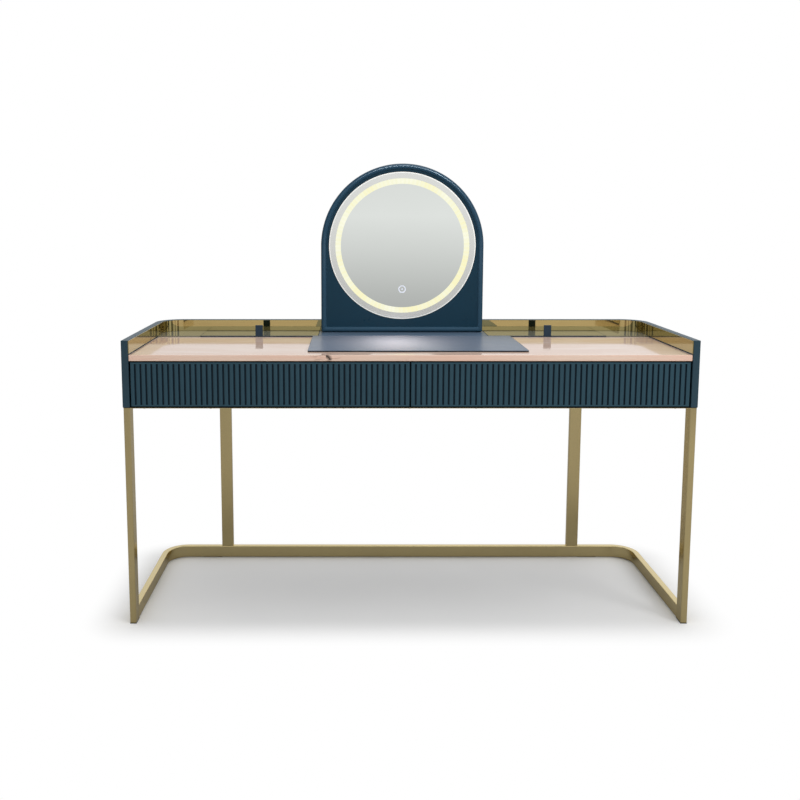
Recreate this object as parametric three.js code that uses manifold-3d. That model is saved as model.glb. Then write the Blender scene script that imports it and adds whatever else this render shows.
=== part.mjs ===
// A dressing table: a lacquered body with two fluted drawers on a gold tube frame, a stone top inside a
// gold-lined gallery, two flip-up glass lids over storage wells, and an arched mirror with a light ring.
// Millimetres, +Z up, the front faces -Y. The origin is on the floor under the middle of the table.
import * as THREE from "three";
import { mergeVertices } from "three/addons/utils/BufferGeometryUtils.js";
import Module from "manifold-3d";

const wasm = await Module();
wasm.setup();

// ---------------------------------------------------------------- driving dimensions

// Whole table
const WIDTH = 1500; // outside of the side panels
const DEPTH = 500; // front of the side panels to the back of the back panel
const TOP_HEIGHT = 730; // floor to the top of the stone
const CONTACT = 0.3; // left open between pieces that touch
const PAST = 1; // how far a cut runs past a face, and a joined shape runs into the next

// Body shell
const PANEL = 18; // side and back panels
const GALLERY_HEIGHT = 38; // panels above the stone
const CORNER_RADIUS = 75; // outside of the two rear corners
const BACK_ARM = 20; // straight end of the back panel in front of each rear corner
const LINER = 2; // gold sheet inside the gallery
const LINER_BELOW_RIM = 1;
const LINER_SET_BACK = 1; // gold sheet behind the front of the side panels
const BOTTOM_PANEL = 12;
const BOTTOM_SET_BACK = 28; // finger room behind the lower edge of the drawer fronts
const DIVIDER = 18;
const DIVIDER_SET_BACK = 24;
const INLET_RADIUS = 12;
const INLET_RECESS = 3;
const INLET_WALL = 3;
const INLET_PIN_RADIUS = 3;
const INLET_ABOVE_BOTTOM = 48;

// Top
const STONE = 16;
const STONE_SET_BACK = 2;
const STONE_SIDE_GAP = 0.8;
const LEDGE_DEPTH = 118; // rear ledge, from its front edge to the gold sheet
const LEDGE_RISE = 3.3; // ledge above the stone
const LEDGE_GAP = 0.5; // between stone and ledge
const LEDGE_BOARD = 18;
const MIRROR_BASE_WIDTH = 506;
const LEDGE_CORNER_WIDTH = 127; // fixed board at each end of the ledge
const PAD_WIDTH = 587;
const PAD_DEPTH = 305;
const PAD_THICKNESS = 3;
const PAD_OFFSET = 24; // the loose pad lies a little right of the middle
const PAD_FROM_LEDGE = 1;

// Drawers
const FRONT_HEIGHT = 116;
const FRONT_THICKNESS = 18;
const FRONT_SET_BACK = 1;
const FRONT_SIDE_GAP = 4.5;
const FRONT_CENTRE_GAP = 4;
const SHADOW_GAP = 3.5; // between the stone and the drawer fronts
const UNDER_GAP = 3; // drawer front above the underside of the body
const FLUTE_PITCH = 14.3;
const FLUTE_WIDTH = 4.6;
const FLUTE_FLOOR = 2.4;
const FLUTE_DEPTH = 3;
const FLUTE_STOP = 4; // plain strip above and below the flutes
const DRAWER_SIDE = 12;
const DRAWER_BOTTOM = 6;
const DRAWER_TOP_ROOM = 14; // box below the top of its front
const DRAWER_BOTTOM_ROOM = 4; // box above the bottom panel
const DRAWER_REAR_ROOM = 17; // box in front of the wells

// Drawer runners, two nested channels
const RUNNER_ROOM = 13; // between drawer box and body
const RUNNER_HEIGHT = 36;
const RUNNER_SHEET = 1.5;
const RUNNER_PLAY = 1.5; // between the channels, above and below
const RUNNER_SIDE_PLAY = 1;
const RUNNER_SET_BACK = 4;

// Storage wells and glass lids
const WELL_WALL = 6;
const WELL_BOTTOM = 4;
const LID_GLASS = 4;
const LID_SIDE_GAP = 1;
const PULL_STRIP = 3; // thickness of the coloured edge on the lid
const TAB_WIDTH = 22;
const TAB_HEIGHT = 35;
const TAB_THICKNESS = 3;
const HINGE_LENGTH = 300;
const HINGE_KNUCKLES = 5;
const KNUCKLE_RADIUS = 2.5;
const KNUCKLE_BORE = 1.25;
const KNUCKLE_GAP = 0.5;
const PIN_RADIUS = 1;
const LEAF = 1.2;
const LEAF_WIDTH = 25;
const HINGE_FROM_LINER = 5;

// Frame of rectangular tube
const TUBE_WIDE = 36;
const TUBE_NARROW = 17;
const TUBE_WALL = 1.5;
const FRAME_INSET = 1.5; // frame inside the outline of the body
const TOP_BAR = 5;
const REAR_LEG_INSET = 199; // side of the table to the middle of a rear leg
const GLIDE_FOOT = 2;
const GLIDE_PLUG = 8;
const GLIDE_PLAY = 0.5;
const REAR_GLIDE_LENGTH = 60;
const REAR_GLIDE_FROM_SIDE = 120;

// Mirror
const MIRROR_WIDTH = 494;
const MIRROR_CENTRE_ABOVE_LEDGE = 263.7;
const MIRROR_DEPTH = 36;
const MIRROR_FROM_LINER = 2;
const MIRROR_RIM = 10;
const MIRROR_FOOT_RADIUS = 6;
const FACE_PANEL = 12;
const FACE_INSET = 5; // face panel behind the front of the rim
const GLASS_RADIUS = 222.5;
const GLASS_THICKNESS = 5;
const GLASS_PROUD = 1.5; // glass in front of the face panel
const GLASS_PLAY = 1.5;
const LIGHT_RADIUS = 195; // middle of the light ring
const LIGHT_WIDTH = 17;
const LIGHT_DEPTH = 3;
const LED_BOARD = 1.6;
const LED_BOARD_WIDTH = 22;
const LED_FROM_GLASS = 3;
const REAR_COVER = 4;
const REAR_COVER_INSET = 2;
const SENSOR_RADIUS = 13;
const SENSOR_THICKNESS = 3;
const SENSOR_BELOW_CENTRE = 131;

// Fineness of curves
const CORNER_STEPS = 10;
const ARCH_STEPS = 32;
const ROUND_STEPS = 64;
const SMALL_ROUND_STEPS = 16;

// ---------------------------------------------------------------- places worked out from them

const halfWidth = WIDTH / 2;
const frontY = -DEPTH / 2;
const backY = DEPTH / 2;
const insideX = halfWidth - PANEL;
const insideY = backY - PANEL;
const linerY = insideY - CONTACT - LINER;
const sideEndY = backY - CORNER_RADIUS - BACK_ARM;
const rimZ = TOP_HEIGHT + GALLERY_HEIGHT;
const ledgeZ = TOP_HEIGHT + LEDGE_RISE;
const ledgeY = linerY - LEDGE_DEPTH;
const stoneUnderZ = TOP_HEIGHT - STONE;
const frontTopZ = stoneUnderZ - SHADOW_GAP;
const frontBottomZ = frontTopZ - FRONT_HEIGHT;
const bodyZ = frontBottomZ - UNDER_GAP;
const bottomTopZ = bodyZ + BOTTOM_PANEL;
const topBarZ = bodyZ - CONTACT - TOP_BAR;
const legTopZ = topBarZ - CONTACT;
const frameFootZ = GLIDE_FOOT + CONTACT;
const SIDES = [
  { side: "left", sign: -1 },
  { side: "right", sign: 1 },
];

// ---------------------------------------------------------------- finishes

function finish(color, roughness, metalness) {
  return new THREE.MeshStandardMaterial({ color, roughness, metalness });
}

const lacquer = finish(0x2f4b58, 0.38, 0.0);
const darkLacquer = finish(0x1c3646, 0.3, 0.0);
const gold = finish(0x9c8c58, 0.18, 1.0);
const goldMirror = finish(0xb09a62, 0.06, 1.0);
const pinkStone = finish(0xe2cfc2, 0.08, 0.0);
const tintedGlass = finish(0x8c8c78, 0.05, 0.0);
const blueTrim = finish(0x1f3446, 0.4, 0.0);
const slateLeather = finish(0x5f7389, 0.45, 0.0);
const silverMirror = finish(0xd4dad3, 0.03, 1.0);
const warmLight = finish(0xfff6d6, 0.6, 0.0);
const steel = finish(0xa9adb0, 0.35, 1.0);
const paleWood = finish(0xb59a78, 0.6, 0.0);
const blackPlastic = finish(0x1b1c1e, 0.6, 0.0);
const greenBoard = finish(0x2c5a3c, 0.5, 0.0);

// ---------------------------------------------------------------- making and joining solids

const table = new THREE.Group();

function group(parent) {
  const made = new THREE.Group();
  parent.add(made);
  return made;
}

function add(parent, name, geometry, material) {
  const mesh = new THREE.Mesh(geometry, material);
  mesh.name = name;
  parent.add(mesh);
  return mesh;
}

// A box between two values on each axis, with its place in the geometry.
function box(x, y, z) {
  const geometry = new THREE.BoxGeometry(Math.abs(x[1] - x[0]), y[1] - y[0], z[1] - z[0]);
  return geometry.translate((x[0] + x[1]) / 2, (y[0] + y[1]) / 2, (z[0] + z[1]) / 2);
}

function block(parent, name, x, y, z, material) {
  return add(parent, name, box(x, y, z), material);
}

// The same stretch of X on the side that sign names.
const mirrored = (sign, from, to) => (sign > 0 ? [from, to] : [-to, -from]);

// A plan outline made as thick as its height, standing on z = from.
function raised(shape, from, to, curveSegments = CORNER_STEPS) {
  const options = { depth: to - from, bevelEnabled: false, curveSegments };
  return new THREE.ExtrudeGeometry(shape, options).translate(0, 0, from);
}

// An outline drawn in X and Z, made thick along Y from y = from to y = to.
function upright(shape, from, to, curveSegments = CORNER_STEPS) {
  const options = { depth: to - from, bevelEnabled: false, curveSegments };
  return new THREE.ExtrudeGeometry(shape, options).rotateX(Math.PI / 2).translate(0, to, 0);
}

function solidFrom(geometry) {
  const bare = geometry.clone();
  bare.deleteAttribute("normal");
  bare.deleteAttribute("uv");
  const merged = mergeVertices(bare, 1e-4);
  const vertProperties = merged.attributes.position.array;
  const triVerts = new Uint32Array(merged.index.array);
  return new wasm.Manifold(new wasm.Mesh({ numProp: 3, vertProperties, triVerts }));
}

function geometryFrom(solid) {
  const mesh = solid.getMesh();
  const geometry = new THREE.BufferGeometry();
  geometry.setAttribute("position", new THREE.BufferAttribute(mesh.vertProperties, 3));
  geometry.setIndex(new THREE.BufferAttribute(mesh.triVerts, 1));
  geometry.computeVertexNormals();
  return geometry;
}

function cut(base, ...tools) {
  let solid = solidFrom(base);
  for (const tool of tools) solid = solid.subtract(solidFrom(tool));
  return geometryFrom(solid);
}

function join(...pieces) {
  let solid = solidFrom(pieces[0]);
  for (const piece of pieces.slice(1)) solid = solid.add(solidFrom(piece));
  return geometryFrom(solid);
}

// ---------------------------------------------------------------- outlines

// A U in plan, open to the front: both arms run back from y = front and turn with outside radius.
function uBand(outsideX, front, back, radius, thickness) {
  const bendX = outsideX - radius;
  const bendY = back - radius;
  const inner = radius - thickness;
  const shape = new THREE.Shape();
  shape.moveTo(outsideX, front);
  shape.lineTo(outsideX, bendY);
  shape.absarc(bendX, bendY, radius, 0, Math.PI / 2, false);
  shape.absarc(-bendX, bendY, radius, Math.PI / 2, Math.PI, false);
  shape.lineTo(-outsideX, front);
  shape.lineTo(-outsideX + thickness, front);
  shape.lineTo(-outsideX + thickness, bendY);
  shape.absarc(-bendX, bendY, inner, Math.PI, Math.PI / 2, true);
  shape.absarc(bendX, bendY, inner, Math.PI / 2, 0, true);
  shape.lineTo(outsideX - thickness, front);
  shape.closePath();
  return shape;
}

// A board in plan whose two rear corners are round.
function boardPlan(outsideX, front, back, radius) {
  const shape = new THREE.Shape();
  shape.moveTo(-outsideX, front);
  shape.lineTo(outsideX, front);
  shape.absarc(outsideX - radius, back - radius, radius, 0, Math.PI / 2, false);
  shape.absarc(radius - outsideX, back - radius, radius, Math.PI / 2, Math.PI, false);
  shape.closePath();
  return shape;
}

// The board at one end of the ledge, with its outer rear corner round.
function ledgeCornerPlan(sign, innerX, outsideX, front, back, radius) {
  const middle = sign > 0 ? 0 : Math.PI;
  const shape = new THREE.Shape();
  shape.moveTo(sign * innerX, front);
  shape.lineTo(sign * outsideX, front);
  shape.absarc(sign * (outsideX - radius), back - radius, radius, middle, Math.PI / 2, sign < 0);
  shape.lineTo(sign * innerX, back);
  shape.closePath();
  return shape;
}

// An arch in X and Z: straight sides from base to spring, and a half circle above.
function archOutline(half, base, spring, footRadius) {
  const shape = new THREE.Shape();
  shape.moveTo(-half + footRadius, base);
  shape.lineTo(half - footRadius, base);
  shape.absarc(half - footRadius, base + footRadius, footRadius, -Math.PI / 2, 0, false);
  shape.lineTo(half, spring);
  shape.absarc(0, spring, half, 0, Math.PI, false);
  shape.absarc(-half + footRadius, base + footRadius, footRadius, Math.PI, 1.5 * Math.PI, false);
  shape.closePath();
  return shape;
}

function discHole(x, z, radius) {
  const hole = new THREE.Path();
  hole.absarc(x, z, radius, 0, 2 * Math.PI, true);
  return hole;
}

// A ring or disc about a line along Y through (0, z), from y = from to y = to.
function ring(innerRadius, outerRadius, from, to, z) {
  const profile = [
    new THREE.Vector2(innerRadius, from),
    new THREE.Vector2(outerRadius, from),
    new THREE.Vector2(outerRadius, to),
    new THREE.Vector2(innerRadius, to),
    new THREE.Vector2(innerRadius, from),
  ];
  return new THREE.LatheGeometry(profile, ROUND_STEPS).translate(0, 0, z);
}

function rod(radius, from, to, x, z, steps = SMALL_ROUND_STEPS) {
  const geometry = new THREE.CylinderGeometry(radius, radius, to - from, steps);
  return geometry.translate(x, (from + to) / 2, z);
}

// ---------------------------------------------------------------- gold frame

const frame = group(table);
const frameX = halfWidth - FRAME_INSET;
const frameFrontY = frontY + FRAME_INSET;
const frameBackY = backY - FRAME_INSET;
const frameRadius = CORNER_RADIUS - FRAME_INSET;
const railTopZ = frameFootZ + TUBE_WIDE;
const rearLegX = halfWidth - REAR_LEG_INSET;

// A piece of the rectangular tube standing up, open at both ends.
function standingTube(name, x, y, z) {
  const outside = box(x, y, z);
  const insideSpanX = [x[0] + TUBE_WALL, x[1] - TUBE_WALL];
  const insideSpanY = [y[0] + TUBE_WALL, y[1] - TUBE_WALL];
  const hollow = box(insideSpanX, insideSpanY, [z[0] - PAST, z[1] + PAST]);
  add(frame, name, cut(outside, hollow), gold);
}

for (const { side, sign } of SIDES) {
  const legX = mirrored(sign, frameX - TUBE_NARROW, frameX);
  const legY = [frameFrontY, frameFrontY + TUBE_WIDE];
  standingTube(side + "_front_leg", legX, legY, [frameFootZ, legTopZ]);

  const rearX = mirrored(sign, rearLegX - TUBE_WIDE / 2, rearLegX + TUBE_WIDE / 2);
  const rearY = [frameBackY - TUBE_NARROW, frameBackY];
  standingTube(side + "_rear_leg", rearX, rearY, [railTopZ + CONTACT, legTopZ]);

  // A nylon glide: a foot under the front leg, and a plug that holds it in the tube.
  const plugInset = TUBE_WALL + GLIDE_PLAY;
  const foot = box(legX, legY, [0, GLIDE_FOOT]);
  const plugX = [legX[0] + plugInset, legX[1] - plugInset];
  const plugY = [legY[0] + plugInset, legY[1] - plugInset];
  const plug = box(plugX, plugY, [GLIDE_FOOT / 2, GLIDE_FOOT + GLIDE_PLUG]);
  add(frame, side + "_front_glide", join(foot, plug), blackPlastic);

  const rearGlideOuter = halfWidth - REAR_GLIDE_FROM_SIDE;
  const rearGlideX = mirrored(sign, rearGlideOuter - REAR_GLIDE_LENGTH, rearGlideOuter);
  const rearGlideY = [rearY[0] + GLIDE_PLAY, rearY[1] - GLIDE_PLAY];
  block(frame, side + "_rear_glide", rearGlideX, rearGlideY, [0, GLIDE_FOOT], blackPlastic);
}

// The floor rail is one tube on edge, bent round the two rear corners, with open ends at the front legs.
const railFrontY = frameFrontY + TUBE_WIDE + CONTACT;
const railOutside = uBand(frameX, railFrontY, frameBackY, frameRadius, TUBE_NARROW);
const railHollow = uBand(
  frameX - TUBE_WALL,
  railFrontY - PAST,
  frameBackY - TUBE_WALL,
  frameRadius - TUBE_WALL,
  TUBE_NARROW - 2 * TUBE_WALL,
);
const railSolid = raised(railOutside, frameFootZ, railTopZ);
const railInside = raised(railHollow, frameFootZ + TUBE_WALL, railTopZ - TUBE_WALL);
add(frame, "floor_rail", cut(railSolid, railInside), gold);

const topBarSpanZ = [topBarZ, topBarZ + TOP_BAR];
const frontBarY = [frameFrontY, frameFrontY + TUBE_WIDE];
block(frame, "front_top_bar", [-frameX, frameX], frontBarY, topBarSpanZ, gold);
const rearBarX = rearLegX + TUBE_WIDE / 2;
const rearBarY = [frameBackY - TUBE_WIDE, frameBackY];
block(frame, "rear_top_bar", [-rearBarX, rearBarX], rearBarY, topBarSpanZ, gold);

// ---------------------------------------------------------------- body shell

const shell = group(table);
const inletZ = bottomTopZ + INLET_ABOVE_BOTTOM;

for (const { side, sign } of SIDES) {
  const x = mirrored(sign, insideX, halfWidth);
  block(shell, side + "_side_panel", x, [frontY, sideEndY - CONTACT], [bodyZ, rimZ], lacquer);
}

const backPlan = uBand(halfWidth, sideEndY, backY, CORNER_RADIUS, PANEL);
const inletHole = rod(INLET_RADIUS + CONTACT, insideY - PAST, backY + PAST, 0, inletZ);
add(shell, "back_panel", cut(raised(backPlan, bodyZ, rimZ), inletHole), lacquer);

// The low-voltage inlet for the mirror light: a plug body with a shallow ring round its centre pin.
const inletBody = rod(INLET_RADIUS, insideY, backY, 0, inletZ);
const inletRing = cut(
  rod(INLET_RADIUS - INLET_WALL, backY - INLET_RECESS, backY + PAST, 0, inletZ),
  rod(INLET_PIN_RADIUS, backY - INLET_RECESS - PAST, backY + 2 * PAST, 0, inletZ),
);
add(shell, "power_inlet", cut(inletBody, inletRing), blackPlastic);

const bottomX = insideX - CONTACT;
const bottomRadius = CORNER_RADIUS - PANEL - CONTACT;
const bottomPlan = boardPlan(bottomX, frontY + BOTTOM_SET_BACK, insideY - CONTACT, bottomRadius);
add(shell, "bottom_panel", raised(bottomPlan, bodyZ, bottomTopZ), darkLacquer);

const dividerY = [frontY + DIVIDER_SET_BACK, ledgeY - LEDGE_GAP];
const dividerZ = [bottomTopZ + CONTACT, stoneUnderZ - CONTACT];
block(shell, "centre_divider", [-DIVIDER / 2, DIVIDER / 2], dividerY, dividerZ, darkLacquer);

// The gold sheet stands on the level of the ledge, so a line of lacquer shows between it and the stone.
const linerPlan = uBand(insideX - CONTACT, frontY + LINER_SET_BACK, insideY - CONTACT, bottomRadius, LINER);
const linerSheet = raised(linerPlan, ledgeZ + CONTACT, rimZ - LINER_BELOW_RIM);
add(shell, "gold_liner", linerSheet, goldMirror);

// ---------------------------------------------------------------- stone, ledge and loose pad

const top = group(table);
const stoneX = insideX - STONE_SIDE_GAP;
const stoneY = [frontY + STONE_SET_BACK, ledgeY - LEDGE_GAP];
block(top, "marble_top", [-stoneX, stoneX], stoneY, [stoneUnderZ, TOP_HEIGHT], pinkStone);

const ledgeBackY = insideY - CONTACT;
const ledgeSpanZ = [ledgeZ - LEDGE_BOARD, ledgeZ];
const baseX = MIRROR_BASE_WIDTH / 2;
block(top, "mirror_base_board", [-baseX, baseX], [ledgeY, ledgeBackY], ledgeSpanZ, slateLeather);

const ledgeCornerX = insideX - LEDGE_CORNER_WIDTH;
for (const { side, sign } of SIDES) {
  const plan = ledgeCornerPlan(sign, ledgeCornerX, bottomX, ledgeY, ledgeBackY, bottomRadius);
  add(top, side + "_ledge_corner", raised(plan, ...ledgeSpanZ), tintedGlass);
}

const padZ = [TOP_HEIGHT + CONTACT, TOP_HEIGHT + CONTACT + PAD_THICKNESS];
const padRearY = ledgeY - PAD_FROM_LEDGE;
const padX = [PAD_OFFSET - PAD_WIDTH / 2, PAD_OFFSET + PAD_WIDTH / 2];
block(top, "desk_pad", padX, [padRearY - PAD_DEPTH, padRearY], padZ, slateLeather);

// ---------------------------------------------------------------- drawers and their runners

const drawers = group(table);
const frontWidth = insideX - FRONT_SIDE_GAP - FRONT_CENTRE_GAP / 2;
const fluteCount = Math.round((frontWidth + FLUTE_WIDTH) / FLUTE_PITCH) - 1;
const flutePitch = (frontWidth + FLUTE_WIDTH) / (fluteCount + 1);
const frontInnerX = FRONT_CENTRE_GAP / 2;
const frontFaceY = frontY + FRONT_SET_BACK;
const boxFrontY = frontFaceY + FRONT_THICKNESS + CONTACT;
const wellFrontY = ledgeY + PULL_STRIP + CONTACT;
const boxBackY = ledgeY - DRAWER_REAR_ROOM;
const boxBottomZ = bottomTopZ + DRAWER_BOTTOM_ROOM;
const boxTopZ = frontTopZ - DRAWER_TOP_ROOM;
const boxInnerX = DIVIDER / 2 + RUNNER_ROOM;
const boxOuterX = insideX - RUNNER_ROOM;
const runnerMiddleZ = (boxBottomZ + boxTopZ) / 2;

// One flute: a groove with sloping walls, drawn in plan with its mouth at the face of the front.
function fluteTool(x) {
  const mouth = FLUTE_WIDTH / 2;
  const floor = FLUTE_FLOOR / 2;
  const shape = new THREE.Shape();
  const slope = (mouth - floor) / FLUTE_DEPTH;
  const wide = mouth + slope * PAST;
  shape.moveTo(x - wide, frontFaceY - PAST);
  shape.lineTo(x + wide, frontFaceY - PAST);
  shape.lineTo(x + floor, frontFaceY + FLUTE_DEPTH);
  shape.lineTo(x - floor, frontFaceY + FLUTE_DEPTH);
  shape.closePath();
  return raised(shape, frontBottomZ + FLUTE_STOP, frontTopZ - FLUTE_STOP);
}

function flutedFront(sign) {
  const spanX = mirrored(sign, frontInnerX, frontInnerX + frontWidth);
  const spanY = [frontFaceY, frontFaceY + FRONT_THICKNESS];
  const plain = box(spanX, spanY, [frontBottomZ, frontTopZ]);
  const tools = [];
  for (let i = 1; i <= fluteCount; i += 1) {
    tools.push(fluteTool(spanX[0] + i * flutePitch - FLUTE_WIDTH / 2));
  }
  return cut(plain, ...tools);
}

// The channel of a runner in X and Z. Its web is at webX and its two lips reach towards lipX.
function channel(webX, lipX, height) {
  const inward = Math.sign(lipX - webX) * RUNNER_SHEET;
  const low = runnerMiddleZ - height / 2;
  const high = runnerMiddleZ + height / 2;
  const shape = new THREE.Shape();
  shape.moveTo(webX, low);
  shape.lineTo(lipX, low);
  shape.lineTo(lipX, low + RUNNER_SHEET);
  shape.lineTo(webX + inward, low + RUNNER_SHEET);
  shape.lineTo(webX + inward, high - RUNNER_SHEET);
  shape.lineTo(lipX, high - RUNNER_SHEET);
  shape.lineTo(lipX, high);
  shape.lineTo(webX, high);
  shape.closePath();
  return shape;
}

// One runner: bodyX is the face of the body that it is screwed to, boxX the side of the drawer box.
function runner(parent, name, bodyX, boxX) {
  const towardsBox = Math.sign(boxX - bodyX);
  const fixedWeb = bodyX + towardsBox * CONTACT;
  const movingWeb = boxX - towardsBox * CONTACT;
  const fixedLip = movingWeb - towardsBox * (RUNNER_SHEET + RUNNER_SIDE_PLAY);
  const movingLip = fixedWeb + towardsBox * (RUNNER_SHEET + RUNNER_SIDE_PLAY);
  const movingHeight = RUNNER_HEIGHT - 2 * (RUNNER_SHEET + RUNNER_PLAY);
  const span = [boxFrontY + RUNNER_SET_BACK, boxBackY];
  const fixed = upright(channel(fixedWeb, fixedLip, RUNNER_HEIGHT), ...span);
  const moving = upright(channel(movingWeb, movingLip, movingHeight), ...span);
  add(parent, name + "_body_rail", fixed, steel);
  add(parent, name + "_drawer_rail", moving, steel);
}

for (const { side, sign } of SIDES) {
  const drawer = group(drawers);
  const nameOf = (piece) => side + "_drawer_" + piece;
  const innerSide = mirrored(sign, boxInnerX, boxInnerX + DRAWER_SIDE);
  const outerSide = mirrored(sign, boxOuterX - DRAWER_SIDE, boxOuterX);
  const between = mirrored(
    sign,
    boxInnerX + DRAWER_SIDE + CONTACT,
    boxOuterX - DRAWER_SIDE - CONTACT,
  );
  const boxY = [boxFrontY, boxBackY];
  const boxZ = [boxBottomZ, boxTopZ];
  const backBoardY = [boxBackY - DRAWER_SIDE, boxBackY];
  const bottomZ = [boxBottomZ, boxBottomZ + DRAWER_BOTTOM];

  add(drawer, nameOf("front"), flutedFront(sign), lacquer);
  block(drawer, nameOf("inner_side"), innerSide, boxY, boxZ, paleWood);
  block(drawer, nameOf("outer_side"), outerSide, boxY, boxZ, paleWood);
  block(drawer, nameOf("back"), between, backBoardY, [bottomZ[1] + CONTACT, boxTopZ], paleWood);
  block(drawer, nameOf("bottom"), between, boxY, bottomZ, paleWood);
  runner(drawer, nameOf("inner"), (sign * DIVIDER) / 2, sign * boxInnerX);
  runner(drawer, nameOf("outer"), sign * insideX, sign * boxOuterX);
}

// ---------------------------------------------------------------- wells, glass lids and hinges

const lids = group(table);
const lidInnerX = baseX + LID_SIDE_GAP;
const lidOuterX = ledgeCornerX - LID_SIDE_GAP;
const lidUnderZ = ledgeZ - LID_GLASS;
const hingeY = linerY - HINGE_FROM_LINER;
const hingeZ = ledgeZ - KNUCKLE_RADIUS + CONTACT;
const lidRearY = hingeY - KNUCKLE_RADIUS - 2 * CONTACT;
const wellTopZ = lidUnderZ - CONTACT;
const wellBackY = ledgeBackY;
const wellRearTopZ = hingeZ - KNUCKLE_RADIUS - CONTACT;
const leafTopZ = lidUnderZ - CONTACT;

// A well: a box with an open top, whose rear wall is lower to make room for the hinge.
function wellBox(sign) {
  const spanX = mirrored(sign, lidInnerX, lidOuterX);
  const insideSpanX = [spanX[0] + WELL_WALL, spanX[1] - WELL_WALL];
  const insideSpanY = [wellFrontY + WELL_WALL, wellBackY - WELL_WALL];
  const floorZ = bottomTopZ + CONTACT;
  const outside = box(spanX, [wellFrontY, wellBackY], [floorZ, wellTopZ]);
  const hollow = box(insideSpanX, insideSpanY, [floorZ + WELL_BOTTOM, wellTopZ + PAST]);
  const cutFrom = lidRearY - CONTACT;
  const hingeRoomX = [spanX[0] - PAST, spanX[1] + PAST];
  const hingeRoom = box(hingeRoomX, [cutFrom, wellBackY + PAST], [wellRearTopZ, wellTopZ + PAST]);
  return cut(outside, hollow, hingeRoom);
}

// A hinge knuckle: a short sleeve along X on the hinge line.
function knuckle(from, to) {
  const shape = new THREE.Shape();
  shape.absarc(0, 0, KNUCKLE_RADIUS, 0, 2 * Math.PI, false);
  shape.holes.push(discHole(0, 0, KNUCKLE_BORE));
  const curveSegments = SMALL_ROUND_STEPS / 2;
  const options = { depth: to - from, bevelEnabled: false, curveSegments };
  const sleeve = new THREE.ExtrudeGeometry(shape, options).rotateY(Math.PI / 2);
  return sleeve.translate(from, hingeY, hingeZ);
}

// The stretch of X that each knuckle of a leaf takes: even ones are on the body, odd ones on the lid.
function knuckleSpans(startX, first) {
  const step = HINGE_LENGTH / HINGE_KNUCKLES;
  const spans = [];
  for (let i = first; i < HINGE_KNUCKLES; i += 2) {
    spans.push([startX + i * step + KNUCKLE_GAP / 2, startX + (i + 1) * step - KNUCKLE_GAP / 2]);
  }
  return spans;
}

// The body leaf hangs behind the hinge line, flat against the rear wall of the well.
function bodyLeaf(startX) {
  const plateY = [hingeY - LEAF / 2, hingeY + LEAF / 2];
  const plateTop = wellRearTopZ - CONTACT;
  const plate = box([startX, startX + HINGE_LENGTH], plateY, [plateTop - LEAF_WIDTH, plateTop]);
  const pieces = [plate];
  for (const span of knuckleSpans(startX, 0)) {
    const neckTop = hingeZ - (KNUCKLE_RADIUS + KNUCKLE_BORE) / 2;
    pieces.push(box(span, plateY, [plateTop - PAST, neckTop]));
    pieces.push(knuckle(...span));
  }
  return join(...pieces);
}

// The lid leaf lies under the glass, with necks that reach its own knuckles.
function lidLeaf(startX) {
  const plateZ = [leafTopZ - LEAF, leafTopZ];
  const plateEnd = lidRearY;
  const plate = box([startX, startX + HINGE_LENGTH], [plateEnd - LEAF_WIDTH, plateEnd], plateZ);
  const pieces = [plate];
  for (const span of knuckleSpans(startX, 1)) {
    const reach = hingeY - KNUCKLE_BORE;
    pieces.push(box(span, [plateEnd - PAST, reach], plateZ));
    pieces.push(box(span, [hingeY - KNUCKLE_RADIUS, reach], [plateZ[0], hingeZ - KNUCKLE_BORE]));
    pieces.push(knuckle(...span));
  }
  return join(...pieces);
}

// The coloured strip on the front edge of a lid, with the standing tab that lifts it.
function lidPull(sign) {
  const strip = box(
    mirrored(sign, lidInnerX, lidOuterX),
    [ledgeY, ledgeY + PULL_STRIP],
    [TOP_HEIGHT + CONTACT, ledgeZ],
  );
  const middle = (sign * (lidInnerX + lidOuterX)) / 2;
  const tabX = [middle - TAB_WIDTH / 2, middle + TAB_WIDTH / 2];
  const tabZ = [TOP_HEIGHT + CONTACT, TOP_HEIGHT + CONTACT + TAB_HEIGHT];
  return join(strip, box(tabX, [ledgeY - TAB_THICKNESS, ledgeY + PAST], tabZ));
}

for (const { side, sign } of SIDES) {
  const lid = group(lids);
  const lidX = mirrored(sign, lidInnerX, lidOuterX);
  const hingeStartX = (lidX[0] + lidX[1] - HINGE_LENGTH) / 2;
  const lidFrontY = ledgeY + PULL_STRIP + CONTACT;
  const lidZ = [lidUnderZ, ledgeZ];
  add(lid, side + "_well_box", wellBox(sign), darkLacquer);
  block(lid, side + "_glass_lid", lidX, [lidFrontY, lidRearY], lidZ, tintedGlass);
  add(lid, side + "_lid_pull", lidPull(sign), blueTrim);
  add(lid, side + "_hinge_body_leaf", bodyLeaf(hingeStartX), steel);
  add(lid, side + "_hinge_lid_leaf", lidLeaf(hingeStartX), steel);
  const pin = new THREE.CylinderGeometry(PIN_RADIUS, PIN_RADIUS, HINGE_LENGTH, SMALL_ROUND_STEPS);
  const pinMesh = add(lid, side + "_hinge_pin", pin, steel);
  pinMesh.rotation.z = Math.PI / 2;
  pinMesh.position.set(hingeStartX + HINGE_LENGTH / 2, hingeY, hingeZ);
}

// ---------------------------------------------------------------- mirror

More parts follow.
